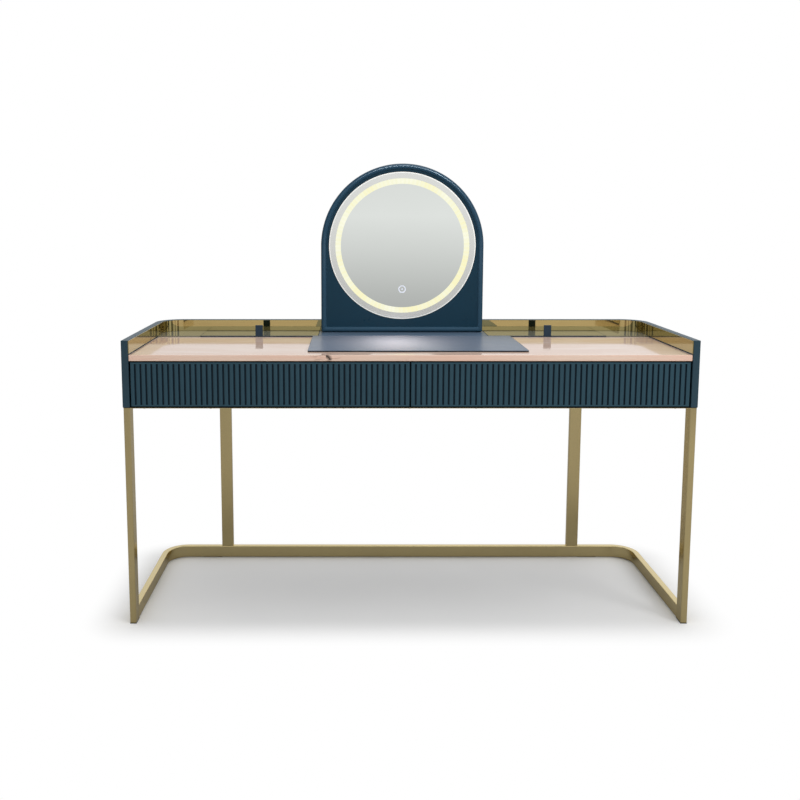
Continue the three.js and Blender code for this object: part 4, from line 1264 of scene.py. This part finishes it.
# %% Bottom, divider and wells
bottom_low, bottom_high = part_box("bottom_panel")
bottom_bend = (bottom_high.x - liner_radius, bottom_high.y - liner_radius)
rear_right = arc(*bottom_bend, liner_radius, 0, 90, 16)
rear_left = [(-x, y) for x, y in reversed(rear_right)]
bottom_plan = [(-bottom_high.x, bottom_low.y), (bottom_high.x, bottom_low.y)] + rear_right + rear_left
bottom_bm = slab(bottom_plan, bottom_low.z, bottom_high.z, WOOD_EASE)
finished("bottom_board", bottom_bm, "table", NAVY_LACQUER, ["bottom_panel"])
board_for("centre_divider", WOOD_EASE, NAVY_LACQUER, name="divider_board")

WELL_WALL, WELL_FLOOR = 6 * MM, 4 * MM
FELT_THICKNESS, FELT_PLAY = 2 * MM, 0.5 * MM
for side in SIDES:
    repaint(NAVY_LACQUER, side + "_well_box")
    low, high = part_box(side + "_well_box")
    margin = WELL_WALL + FELT_PLAY
    mat_low = Vector((low.x + margin, low.y + margin, low.z + WELL_FLOOR))
    mat_high = Vector((high.x - margin, high.y - margin, mat_low.z + FELT_THICKNESS))
    mat = soft_mat(mat_low, mat_high, 3 * MM, 0.6 * MM)
    finished(side + "_well_felt", mat, "table", FELT)

# %% [markdown]
# ## Glass lids, their pulls and their hinges
# Each well is closed by a glass lid with polished edges. A navy strip covers its front edge, and a tab
# standing on the strip lifts it. The hinge is a long knuckle hinge under the rear edge; its solids stay and
# are painted dark, as hidden hardware on such furniture is.

# %% Lids
HINGE_PAINT = coated("dark_hinge_paint", rgba(0.030, 0.032, 0.034), 0.45, 0.2)
GLASS_ARRIS = 0.5 * MM
TAB_WIDTH = 22 * MM
STRIP_THICKNESS, TAB_LAP = 3 * MM, 1 * MM


def lid(side):
    body = side + "_lid"
    board_for(side + "_glass_lid", GLASS_ARRIS, LID_GLASS, body, side + "_lid_glass")
    low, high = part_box(side + "_lid_pull")
    strip_front = high.y - STRIP_THICKNESS
    glass_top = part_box(side + "_glass_lid")[1].z
    strip = board((low.x, strip_front, low.z), (high.x, high.y, glass_top), 0.35 * MM)
    finished(side + "_lid_strip", strip, body, NAVY_TRIM, [side + "_lid_pull"])
    middle = (low.x + high.x) / 2
    tab_low = (middle - TAB_WIDTH / 2, low.y, low.z)
    tab_high = (middle + TAB_WIDTH / 2, strip_front + TAB_LAP, high.z)
    finished(side + "_lid_tab", board(tab_low, tab_high, 0.6 * MM), body, NAVY_TRIM)
    repaint(HINGE_PAINT, side + "_hinge_body_leaf", side + "_hinge_lid_leaf", side + "_hinge_pin")


lid("left")
lid("right")

# %% [markdown]
# ## Gold frame
# The frame is rectangular steel tube, 36 by 17 mm, with the small round corners that rolled tube has. The
# floor rail is one length bent round both rear corners. Legs and rail are welded and polished flush, so the
# legs run on until they touch the rail. Tube ends are closed. Of the bars under the cabinet the front one is
# thin gold sheet with a black strip over it, which is painted shade for the gap under the cabinet, and the
# rear one is flat strip.

# %% Frame
TUBE_CORNER = 2.2 * MM
BAR_EASE = 0.7 * MM
GLIDE_SETBACK = 4 * MM
rail_low, rail_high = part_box("floor_rail")
leg_low, leg_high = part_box("right_front_leg")
TUBE_NARROW = leg_high.x - leg_low.x
rail_radius = CORNER_RADIUS - (side_high.x - rail_high.x)


def upright_tube(low, high, radius, steps=4):
    """A standing tube with round corners; its ends are closed and slightly eased."""
    width, depth = high.x - low.x, high.y - low.y
    end = 0.4 * MM
    bm = bmesh.new()
    loops = []
    for z, inset in ((low.z, end), (low.z + end, 0.0), (high.z - end, 0.0), (high.z, end)):
        section = rounded_section(width, depth, radius, inset, steps)
        loops.append([bm.verts.new((low.x + across, low.y + up, z)) for across, up in section])
    for one, two in zip(loops, loops[1:]):
        bridge(bm, one, two)
    bm.faces.new(loops[0])
    bm.faces.new(loops[-1])
    bmesh.ops.recalc_face_normals(bm, faces=bm.faces)
    return bm


rail_pairs = u_pairs(rail_high.x, rail_low.y - CONTACT, rail_high.y, rail_radius, TUBE_NARROW, 32)
rail_bm = standing_band(rail_pairs, rail_low.z, rail_high.z, TUBE_NARROW, TUBE_CORNER)
finished("floor_rail_tube", rail_bm, "table", BRIGHTENED_GOLD_RAIL, ["floor_rail"])
BAR_SHEET, SHADE_STRIP_THICKNESS = 1.2 * MM, 1.0 * MM
front_bar_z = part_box("front_top_bar")[1].z - SHADE_STRIP_THICKNESS - BAR_SHEET
for side in SIDES:
    low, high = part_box(side + "_front_leg")
    tube = upright_tube(low, Vector((high.x, high.y, front_bar_z)), TUBE_CORNER)
    finished(side + "_front_leg_tube", tube, "table", GOLD_TUBE, [side + "_front_leg"])
    low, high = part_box(side + "_rear_leg")
    leg_foot = Vector((low.x, low.y, rail_high.z))
    tube = upright_tube(leg_foot, Vector((*high.xy, high.z + CONTACT)), TUBE_CORNER)
    finished(side + "_rear_leg_tube", tube, "table", GOLD_TUBE, [side + "_rear_leg"])
    repaint(BLACK_NYLON, side + "_front_glide")
    low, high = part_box(side + "_rear_glide")
    glide = board(low + Vector((0, GLIDE_SETBACK, 0)), high - Vector((0, GLIDE_SETBACK, 0)), 0.5 * MM)
    finished(side + "_rear_glide_pad", glide, "table", BLACK_NYLON, [side + "_rear_glide"])
low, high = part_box("front_top_bar")
seam = high.z - SHADE_STRIP_THICKNESS
sheet = board(Vector((low.x, low.y, seam - BAR_SHEET)), Vector((high.x, high.y, seam)), 0.3 * MM)
finished("front_bar", sheet, "table", BRIGHTENED_GOLD_RAIL, ["front_top_bar"])
# Painted shade: a black strip over the gold sheet stands for the shade in the gap under the cabinet.
shade_strip = board(Vector((low.x, low.y + SHADE_STRIP_THICKNESS, seam)), high, 0.2 * MM)
finished("front_bar_packing", shade_strip, "table", BLACK_PLASTIC)
board_for("rear_top_bar", BAR_EASE, BRIGHTENED_GOLD_RAIL, name="rear_bar")

# %% [markdown]
# ## The arched mirror
# The housing is a deep rim bent to an arch, with a full round on its front edge: that bead is what draws the
# bright streaks at the top. Its path is the arch in elevation. Outside and inside points are matched by
# their place along the path, so the small corners at the foot stay round without folding.

# %% Mirror housing
ARCH_STEPS = 72
FOOT_STEPS = 6
housing_low, housing_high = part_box("mirror_housing")
HALF = housing_high.x
RIM = 17 * MM
FOOT_RADIUS = 6 * MM
centre_z = mirror_centre.z


def arch_outline(half, base, foot):
    """The arch from the middle of its foot, up the right side, over the top and down the left."""
    right_foot = arc(half - foot, base + foot, foot, -90, 0, FOOT_STEPS)
    over = arc(0.0, centre_z, half, 0, 180, ARCH_STEPS)
    left_foot = arc(foot - half, base + foot, foot, 180, 270, FOOT_STEPS)
    return right_foot + over + left_foot


def bead_section(width, depth, rear_ease, steps=8):
    """Across the rim and back from its face: a half round at the front and eased corners at the rear."""
    half = width / 2
    front = arc(half, half, half, 180, 360, 2 * steps)
    rear = arc(width - rear_ease, depth - rear_ease, rear_ease, 0, 90, 3)
    return front + rear + arc(rear_ease, depth - rear_ease, rear_ease, 90, 180, 3)


outside = arch_outline(HALF, housing_low.z, FOOT_RADIUS)
inside = arch_outline(HALF - RIM, housing_low.z + RIM, FOOT_RADIUS / 2)
housing_depth = housing_high.y - housing_low.y
profile = [(across, housing_low.y + back) for across, back in bead_section(RIM, housing_depth, 1.2 * MM)]
rim_sections = [(RIM, profile)] * len(outside)
housing_bm = band(list(zip(outside, inside)), rim_sections, in_elevation, closed=True)
RIM_SHARP = math.radians(40)
rim = finished("mirror_rim", housing_bm, "table", RIM_LACQUER, ["mirror_housing"], RIM_SHARP)
light_only(rim, "left_streak", "top_streak", "right_streak")

# %% [markdown]
# ## Face panel
# The panel fills the arch and has a round opening for the glass. Matching the arch with a circle is easiest
# from the middle of the glass: for each direction, one point lies on the circle and one on the arch. The
# directions to the corners of the foot are added, so that the panel keeps them.

# %% Face panel and rear cover
face_low, face_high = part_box("mirror_face_panel")
GLASS_PLAY = 1.5 * MM
glass_radius = (glass_high.x - glass_low.x) / 2
PANEL_EASE = 1.0 * MM


def arch_ring(low, high, hole_radius, ease, steps=180):
    """A flat ring between a circle round the mirror's middle and the arch of a node's box."""
    half, drop = high.x, centre_z - low.z
    corner = math.degrees(math.atan2(drop, half))
    turns = sorted([360.0 * i / steps for i in range(steps)] + [360 - corner, 180 + corner])
    pairs, sections = [], []
    for turn in turns:
        c, s = math.cos(math.radians(turn)), math.sin(math.radians(turn))
        length = half if s >= 0 else min(half / max(abs(c), 1e-6), drop / abs(s))
        outer, inner = (length * c, centre_z + length * s), (hole_radius * c, centre_z + hole_radius * s)
        width = length - hole_radius
        section = rounded_section(width, high.y - low.y, ease, 0.0, 2)
        pairs.append((outer, inner))
        sections.append((width, [(across, low.y + back) for across, back in section]))
    return band(pairs, sections, in_elevation, closed=True)


face_bm = arch_ring(face_low, face_high, glass_radius + GLASS_PLAY, PANEL_EASE)
finished("mirror_face", face_bm, "table", NAVY_LACQUER, ["mirror_face_panel"])

# %% [markdown]
# ## Glass, border and light
# The disc is cut with a bevelled edge. Its bright line all round is a painted highlight: the bevel glows
# by its own emission. The silvering stops at the ring of light, and outside it the border is frosted. In the
# model the disc, the border, the bevel and the paint behind are each turned from a profile, and the glowing
# band fills a recess just below the surface.

# %% Glass disc
BEVEL_WIDTH, BEVEL_DROP = 3.0 * MM, 0.8 * MM
GLASS_STEPS = 192
GLASS_EDGE = 0.4 * MM
band_low, band_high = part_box("light_ring")
band_outer = (band_high.x - band_low.x) / 2
BAND_WIDTH = 16.4 * MM
band_inner = band_outer - BAND_WIDTH
GROOVE_PLAY = 0.3 * MM
groove_y = band_high.y + GROOVE_PLAY
front_y, rear_y = glass_low.y, glass_high.y

disc_profile = [
    (0.0, front_y),
    (band_inner - GROOVE_PLAY, front_y),
    (band_inner - GROOVE_PLAY, groove_y),
    (band_outer + GROOVE_PLAY, groove_y),
    (band_outer + GROOVE_PLAY, rear_y),
    (0.0, rear_y),
]
bevel_from = glass_radius - BEVEL_WIDTH
border_profile = [
    (band_outer + GROOVE_PLAY, front_y),
    (bevel_from, front_y),
    (bevel_from, rear_y),
    (band_outer + GROOVE_PLAY, rear_y),
]
bevel_profile = [
    (bevel_from, front_y),
    (glass_radius - GLASS_EDGE, front_y + BEVEL_DROP),
    (glass_radius, front_y + BEVEL_DROP + GLASS_EDGE),
    (glass_radius, rear_y),
    (bevel_from, rear_y),
]
disc = turned(disc_profile, mirror_centre, GLASS_STEPS)
finished("mirror_disc", disc, "table", MIRROR_SILVER, ["mirror_glass"], math.radians(8))
border = turned(border_profile, mirror_centre, GLASS_STEPS)
finished("mirror_border", border, "table", FROSTED_EDGE, (), math.radians(8))
bevel = turned(bevel_profile, mirror_centre, GLASS_STEPS)
# The bevel's glow is a painted highlight.
finished("mirror_bevel", bevel, "table", PAINTED_BEVEL_HIGHLIGHT, (), math.radians(8))

BACKING = 0.25 * MM
backing_profile = [(0.0, rear_y), (glass_radius - BACKING, rear_y)]
backing_profile += [(radius, rear_y + BACKING) for radius, y in reversed(backing_profile)]
backing = turned(backing_profile, mirror_centre, GLASS_STEPS)
finished("mirror_backing_paint", backing, "table", BLACK_PLASTIC)

# %% Light band and touch sign
BAND_BELOW = 0.1 * MM
light_profile = [
    (band_inner, band_low.y + BAND_BELOW),
    (band_outer, band_low.y + BAND_BELOW),
    (band_outer, band_high.y),
    (band_inner, band_high.y),
]
light = turned(light_profile, mirror_centre, GLASS_STEPS)
finished("light_band", light, "table", LIGHT_BAND, ["light_ring"])

SIGN_OUTER, SIGN_LINE, SIGN_DOT = 11.5 * MM, 3.2 * MM, 2.6 * MM
SIGN_PROUD, SIGN_DEEP = 0.06 * MM, 0.1 * MM
sensor_low, sensor_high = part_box("touch_sensor")
sign_centre = (sensor_low + sensor_high) / 2
sign_y = (front_y - SIGN_PROUD, front_y + SIGN_DEEP)


def flat_ring(inner, outer):
    return [(inner, sign_y[0]), (outer, sign_y[0]), (outer, sign_y[1]), (inner, sign_y[1])]


ring_part = turned(flat_ring(SIGN_OUTER - SIGN_LINE, SIGN_OUTER), sign_centre, 48)
finished("touch_sign_ring", ring_part, "table", TOUCH_PRINT)
dot_part = turned(flat_ring(0.0, SIGN_DOT), sign_centre, 24)
finished("touch_sign_dot", dot_part, "table", TOUCH_PRINT)
repaint(BLACK_PLASTIC, "touch_sensor")

# %% [markdown]
# ## Lamp board
# Behind the band a ring-shaped circuit board carries ninety-six small lamps, each a yellow chip. They repeat
# round a circle, so a second tree sets one chip on each point of a circle and turns it to face the middle.

# %% Lamp chips
CHIP_ROWS = [
    ("Lamps", "Int"),
    ("Radius", "Float"),
    ("Centre", "Vector"),
    ("Chip size", "Vector"),
    ("Material", "Material"),
]


def chip_tree():
    tree, given = new_tree("lamp_chips", CHIP_ROWS)
    ring_points = {"Vertices": given["Lamps"], "Radius": given["Radius"]}
    circle = node(tree, "GeometryNodeMeshCircle", ring_points).outputs[0]
    place = node(tree, "GeometryNodeInputPosition").outputs[0]
    facing = {"Vector": place}
    turned_to = node(tree, "FunctionNodeAlignRotationToVector", facing, axis="X").outputs[0]
    chip = node(tree, "GeometryNodeMeshCube", {"Size": given["Chip size"]}).outputs[0]
    copies = {"Points": circle, "Instance": chip, "Rotation": turned_to}
    row = node(tree, "GeometryNodeInstanceOnPoints", copies).outputs[0]
    quarter = (math.pi / 2, 0.0, 0.0)
    stood = {"Geometry": row, "Rotation": quarter, "Translation": given["Centre"]}
    end_tree(tree, node(tree, "GeometryNodeTransform", stood).outputs[0], given["Material"])
    return tree


CHIP = (3.5 * MM, 2.8 * MM, 1.2 * MM)
led_low, led_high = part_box("led_board")
chip_values = {
    "Lamps": LAMP_COUNT,
    "Radius": (band_inner + band_outer) / 2,
    "Centre": (0.0, led_low.y - CHIP[2] / 2 - CONTACT / 4, centre_z),
    "Chip size": CHIP,
    "Material": LAMP_CHIP,
}
chips = run_tree(chip_tree(), bmesh.new(), chip_values)
finished("lamp_chips", chips, "table", None)
repaint(SOLDER_MASK, "led_board")

# %% [markdown]
# ## Rear cover
# From behind, the mirror is closed by a moulded black cover. Warm air leaves through rows of slots near its
# top. The cover is an arched slab; a third tree sets one slot on each point of a grid and cuts them all from
# the slab at once with Mesh Boolean.

# %% Vented cover
VENT_ROWS = [
    ("Slots across", "Int"),
    ("Slots up", "Int"),
    ("Field", "Vector"),
    ("Centre", "Vector"),
    ("Slot", "Object"),
    ("Material", "Material"),
]


def vent_tree():
    tree, given = new_tree("vent_slots", VENT_ROWS)
    field = node(tree, "ShaderNodeSeparateXYZ", {0: given["Field"]})
    spread = {
        "Size X": field.outputs["X"],
        "Size Y": field.outputs["Z"],
        "Vertices X": given["Slots across"],
        "Vertices Y": given["Slots up"],
    }
    grid = node(tree, "GeometryNodeMeshGrid", spread).outputs[0]
    upright = {"Geometry": grid, "Rotation": (math.pi / 2, 0.0, 0.0), "Translation": given["Centre"]}
    points = node(tree, "GeometryNodeTransform", upright).outputs[0]
    slot_shape = node(tree, "GeometryNodeObjectInfo", {"Object": given["Slot"]}).outputs["Geometry"]
    copies = {"Points": points, "Instance": slot_shape}
    row = node(tree, "GeometryNodeInstanceOnPoints", copies).outputs[0]
    tools = node(tree, "GeometryNodeRealizeInstances", {0: row}).outputs[0]
    parts = {0: given["Geometry"], 1: tools}
    vented = node(tree, "GeometryNodeMeshBoolean", parts, operation="DIFFERENCE", solver="EXACT")
    end_tree(tree, vented.outputs[0], given["Material"])
    return tree


SLOT_LENGTH, SLOT_HEIGHT = 34 * MM, 3.2 * MM
SLOTS_ACROSS, SLOTS_UP = 4, 5
SLOT_FIELD = (0.150, 0.0, 0.040)
VENT_RISE = 0.110
cover_low, cover_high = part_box("mirror_rear_cover")
COVER = 4 * MM
COVER_EASE = 1.0 * MM


def elevation_slab(outline, from_y, to_y, ease):
    """An outline of (x, z) points made as thick as its two depths."""
    bm = slab(outline, -to_y, -from_y, ease)
    for vertex in bm.verts:
        x, z, minus_y = vertex.co
        vertex.co = (x, -minus_y, z)
    bmesh.ops.recalc_face_normals(bm, faces=bm.faces)
    return bm


slot_round = SLOT_HEIGHT / 2
slot_half = SLOT_LENGTH / 2 - slot_round
slot_outline = arc(slot_half, 0.0, slot_round, -90, 90, 5) + arc(-slot_half, 0.0, slot_round, 90, 270, 5)
slot_tool = loose_object("slot_tool", elevation_slab(slot_outline, -COVER, COVER, 0.01 * MM))
cover_outline = arch_outline(cover_high.x, cover_low.z, FOOT_RADIUS / 2)
cover_bm = elevation_slab(cover_outline, cover_high.y - COVER, cover_high.y, COVER_EASE)
vent_values = {
    "Slots across": SLOTS_ACROSS,
    "Slots up": SLOTS_UP,
    "Field": SLOT_FIELD,
    "Centre": (0.0, cover_high.y - COVER / 2, centre_z + VENT_RISE),
    "Slot": slot_tool,
    "Material": BLACK_PLASTIC,
}
cover_mesh = run_tree(vent_tree(), cover_bm, vent_values)
bpy.data.objects.remove(slot_tool)
finished("mirror_cover", cover_mesh, "table", None, ["mirror_rear_cover"])

carrier_profile = [
    ((led_high.x - led_low.x) / 2, cover_low.y),
    ((led_high.x - led_low.x) / 2, cover_high.y - COVER),
    ((led_high.x - led_low.x) / 2 - 22 * MM, cover_high.y - COVER),
    ((led_high.x - led_low.x) / 2 - 22 * MM, cover_low.y),
]
carrier_ring = turned(carrier_profile, mirror_centre, 96)
finished("lamp_board_carrier", carrier_ring, "table", BLACK_PLASTIC)

# %% [markdown]
# ## Power inlet
# A low-voltage lead plugs in at the back of the cabinet. The inlet is turned: a flange, a deep round socket
# and a centre pin with a rounded tip.

# %% Inlet
PIN_RADIUS, SOCKET_RADIUS, INLET_RECESS = 2.2 * MM, 8.5 * MM, 3.0 * MM
outer_y, floor_y = inlet_high.y, inlet_high.y - INLET_RECESS
inlet_profile = [
    (0.0, inlet_low.y),
    (inlet_radius, inlet_low.y),
    (inlet_radius, outer_y - 0.6 * MM),
    (inlet_radius - 0.6 * MM, outer_y),
    (SOCKET_RADIUS + 0.5 * MM, outer_y),
    (SOCKET_RADIUS, outer_y - 0.5 * MM),
    (SOCKET_RADIUS, floor_y),
    (PIN_RADIUS, floor_y),
    (PIN_RADIUS, outer_y - 1.2 * MM),
    (PIN_RADIUS * 0.6, outer_y - 0.6 * MM),
    (0.0, outer_y - 0.5 * MM),
]
inlet = turned(inlet_profile, inlet_middle, 64)
finished("power_socket", inlet, "table", BLACK_PLASTIC, ["power_inlet"], math.radians(30))

# %% [markdown]
# ## Screws
# Screws hold the rear cover, the runners and the bars under the cabinet. They are all the same small
# cross-head, so one head is modelled with few faces, and a fourth tree sets it on every place in a list.
# Each place knows which way its screw faces, and a random number with a fixed seed turns the cross,
# because no two screws in a real row stop at the same angle.

# %% Screw head
SCREW_RADIUS, SCREW_HEIGHT = 3.6 * MM, 1.2 * MM


def screw_head_mesh(radius, height):
    """A low dome with a cross-shaped recess, with its seat at z = 0 and facing +Z."""
    bm = bmesh.new()
    steps, arm, slot = 24, 0.52, 0.13
    rim = [bm.verts.new((radius * math.cos(t), radius * math.sin(t), 0.0)) for t in turns_of(steps)]
    waist = [bm.verts.new((v.co.x * 0.97, v.co.y * 0.97, height * 0.45)) for v in rim]
    crest = [bm.verts.new((v.co.x * 0.72, v.co.y * 0.72, height * 0.92)) for v in rim]
    bridge(bm, rim, waist)
    bridge(bm, waist, crest)
    bm.faces.new(list(reversed(rim)))
    mouth = []
    for quarter in range(4):
        c, s = round(math.cos(quarter * math.pi / 2)), round(math.sin(quarter * math.pi / 2))
        for x, y in ((slot, -slot), (arm, -slot), (arm, slot)):
            mouth.append(((x * c - y * s) * radius, (x * s + y * c) * radius))
    lip = [bm.verts.new((x, y, height)) for x, y in mouth]
    pit = [bm.verts.new((x * 0.7, y * 0.7, height * 0.35)) for x, y in mouth]
    bridge(bm, lip, pit)
    bm.faces.new(pit)
    for i in range(12):
        a, b = lip[i], lip[(i + 1) % 12]
        c = crest[(2 * i - 1) % steps], crest[(2 * i) % steps], crest[(2 * i + 1) % steps]
        bm.faces.new((a, b, c[2], c[1], c[0]))
    bmesh.ops.recalc_face_normals(bm, faces=bm.faces)
    return bm


def turns_of(steps):
    return [2 * math.pi * i / steps for i in range(steps)]


screw_head = loose_object("screw_head", screw_head_mesh(SCREW_RADIUS, SCREW_HEIGHT))
print("screw head:", len(screw_head.data.polygons), "faces")

# %% The tree that sets screws
def screw_tree():
    rows = [("Screw", "Object"), ("Seed", "Int"), ("Material", "Material")]
    tree, given = new_tree("set_screws", rows)
    facing = node(tree, "GeometryNodeInputNamedAttribute", {"Name": "facing"}, data_type="FLOAT_VECTOR")
    upright = node(tree, "FunctionNodeAlignRotationToVector", {"Vector": out(facing)}, axis="Z").outputs[0]
    turns = {"Max": 2 * math.pi, "Seed": given["Seed"]}
    chance = node(tree, "FunctionNodeRandomValue", turns, data_type="FLOAT")
    spin = node(tree, "ShaderNodeCombineXYZ", {"Z": out(chance, "Value")}).outputs[0]
    turn = node(tree, "FunctionNodeEulerToRotation", {0: spin}).outputs[0]
    both = {"Rotation": upright, "Rotate By": turn}
    rotation = node(tree, "FunctionNodeRotateRotation", both, rotation_space="LOCAL").outputs[0]
    shape = node(tree, "GeometryNodeObjectInfo", {"Object": given["Screw"]}).outputs["Geometry"]
    copies = {"Points": given["Geometry"], "Instance": shape, "Rotation": rotation}
    row = node(tree, "GeometryNodeInstanceOnPoints", copies).outputs[0]
    end_tree(tree, row, given["Material"])
    return tree


SCREWS = screw_tree()


def screws(name, places, body, material, seed):
    """Sets a screw at each (place, facing)."""
    mesh = bpy.data.meshes.new(name)
    mesh.from_pydata([tuple(p) for p, _ in places], [], [])
    facing = mesh.attributes.new("facing", "FLOAT_VECTOR", "POINT")
    facing.data.foreach_set("vector", [value for _, towards in places for value in towards])
    points = bpy.data.objects.new(name + "_points", mesh)
    bpy.context.collection.objects.link(points)
    modifier = points.modifiers.new("nodes", "NODES")
    modifier.node_group = SCREWS
    sockets = {i.name: i.identifier for i in SCREWS.interface.items_tree if i.in_out == "INPUT"}
    for label, value in (("Screw", screw_head), ("Seed", seed), ("Material", material)):
        modifier[sockets[label]] = value
    result = evaluated_mesh(points)
    points.modifiers.clear()
    bpy.data.objects.remove(points)
    for attribute in [a for a in result.attributes if a.name == "facing"]:
        result.attributes.remove(attribute)
    print(len(places), "screws")
    return finished(name, result, body, None)


print("tree:", SCREWS.name)

# %% Screws of the rear cover
COVER_SCREW_INSET = 12 * MM
cover_screw_radius = cover_high.x - COVER_SCREW_INSET
cover_places = []
for x, z in arc(0.0, centre_z, cover_screw_radius, 0, 180, 6):
    cover_places.append(((x, cover_high.y, z), (0, 1, 0)))
foot_z = cover_low.z + COVER_SCREW_INSET
for share in (-1.0, -0.34, 0.34, 1.0):
    cover_places.append(((cover_screw_radius * share, cover_high.y, foot_z), (0, 1, 0)))
screws("cover_screws", cover_places, "table", BLACK_PLASTIC, 3)

# %% Screws of the runners
RAIL_SHEET = 1.5 * MM
RAIL_SCREW_SHARES = (0.08, 0.45, 0.9)


def rail_screws(side, kind, body, seed):
    places = []
    for place in ("inner", "outer"):
        low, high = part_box(f"{side}_drawer_{place}_{kind}_rail")
        box_side = 1 if (place == "inner") == (side == "right") else -1
        towards = box_side if kind == "body" else -box_side
        web = (low.x if towards > 0 else high.x) + towards * RAIL_SHEET
        for share in RAIL_SCREW_SHARES:
            y = low.y + (high.y - low.y) * share
            places.append(((web, y, (low.z + high.z) / 2), (towards, 0, 0)))
    screws(f"{side}_{kind}_rail_screws", places, body, STEEL, seed)


for number, side in enumerate(SIDES):
    rail_screws(side, "body", "table", 11 + number)
    rail_screws(side, "drawer", side + "_drawer", 21 + number)

# %% Screws under the cabinet
UNDER_COUNT = 9
under_places = []
for name in ("front_top_bar", "rear_top_bar"):
    low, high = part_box(name)
    inset = TUBE_NARROW * 3
    for i in range(UNDER_COUNT):
        x = low.x + inset + (high.x - low.x - 2 * inset) * i / (UNDER_COUNT - 1)
        under_places.append(((x, (low.y + high.y) / 2, low.z), (0, 0, -1)))
screws("under_screws", under_places, "table", STEEL, 31)
bpy.data.objects.remove(screw_head)

# %% [markdown]
# ## The result
# The finished pieces are made to fill the same room as the plain solids. The count of triangles is printed.

# %% Triangles and the end
print("triangles:", sum(made_triangles.values()), "in", len(made_triangles), "made pieces")
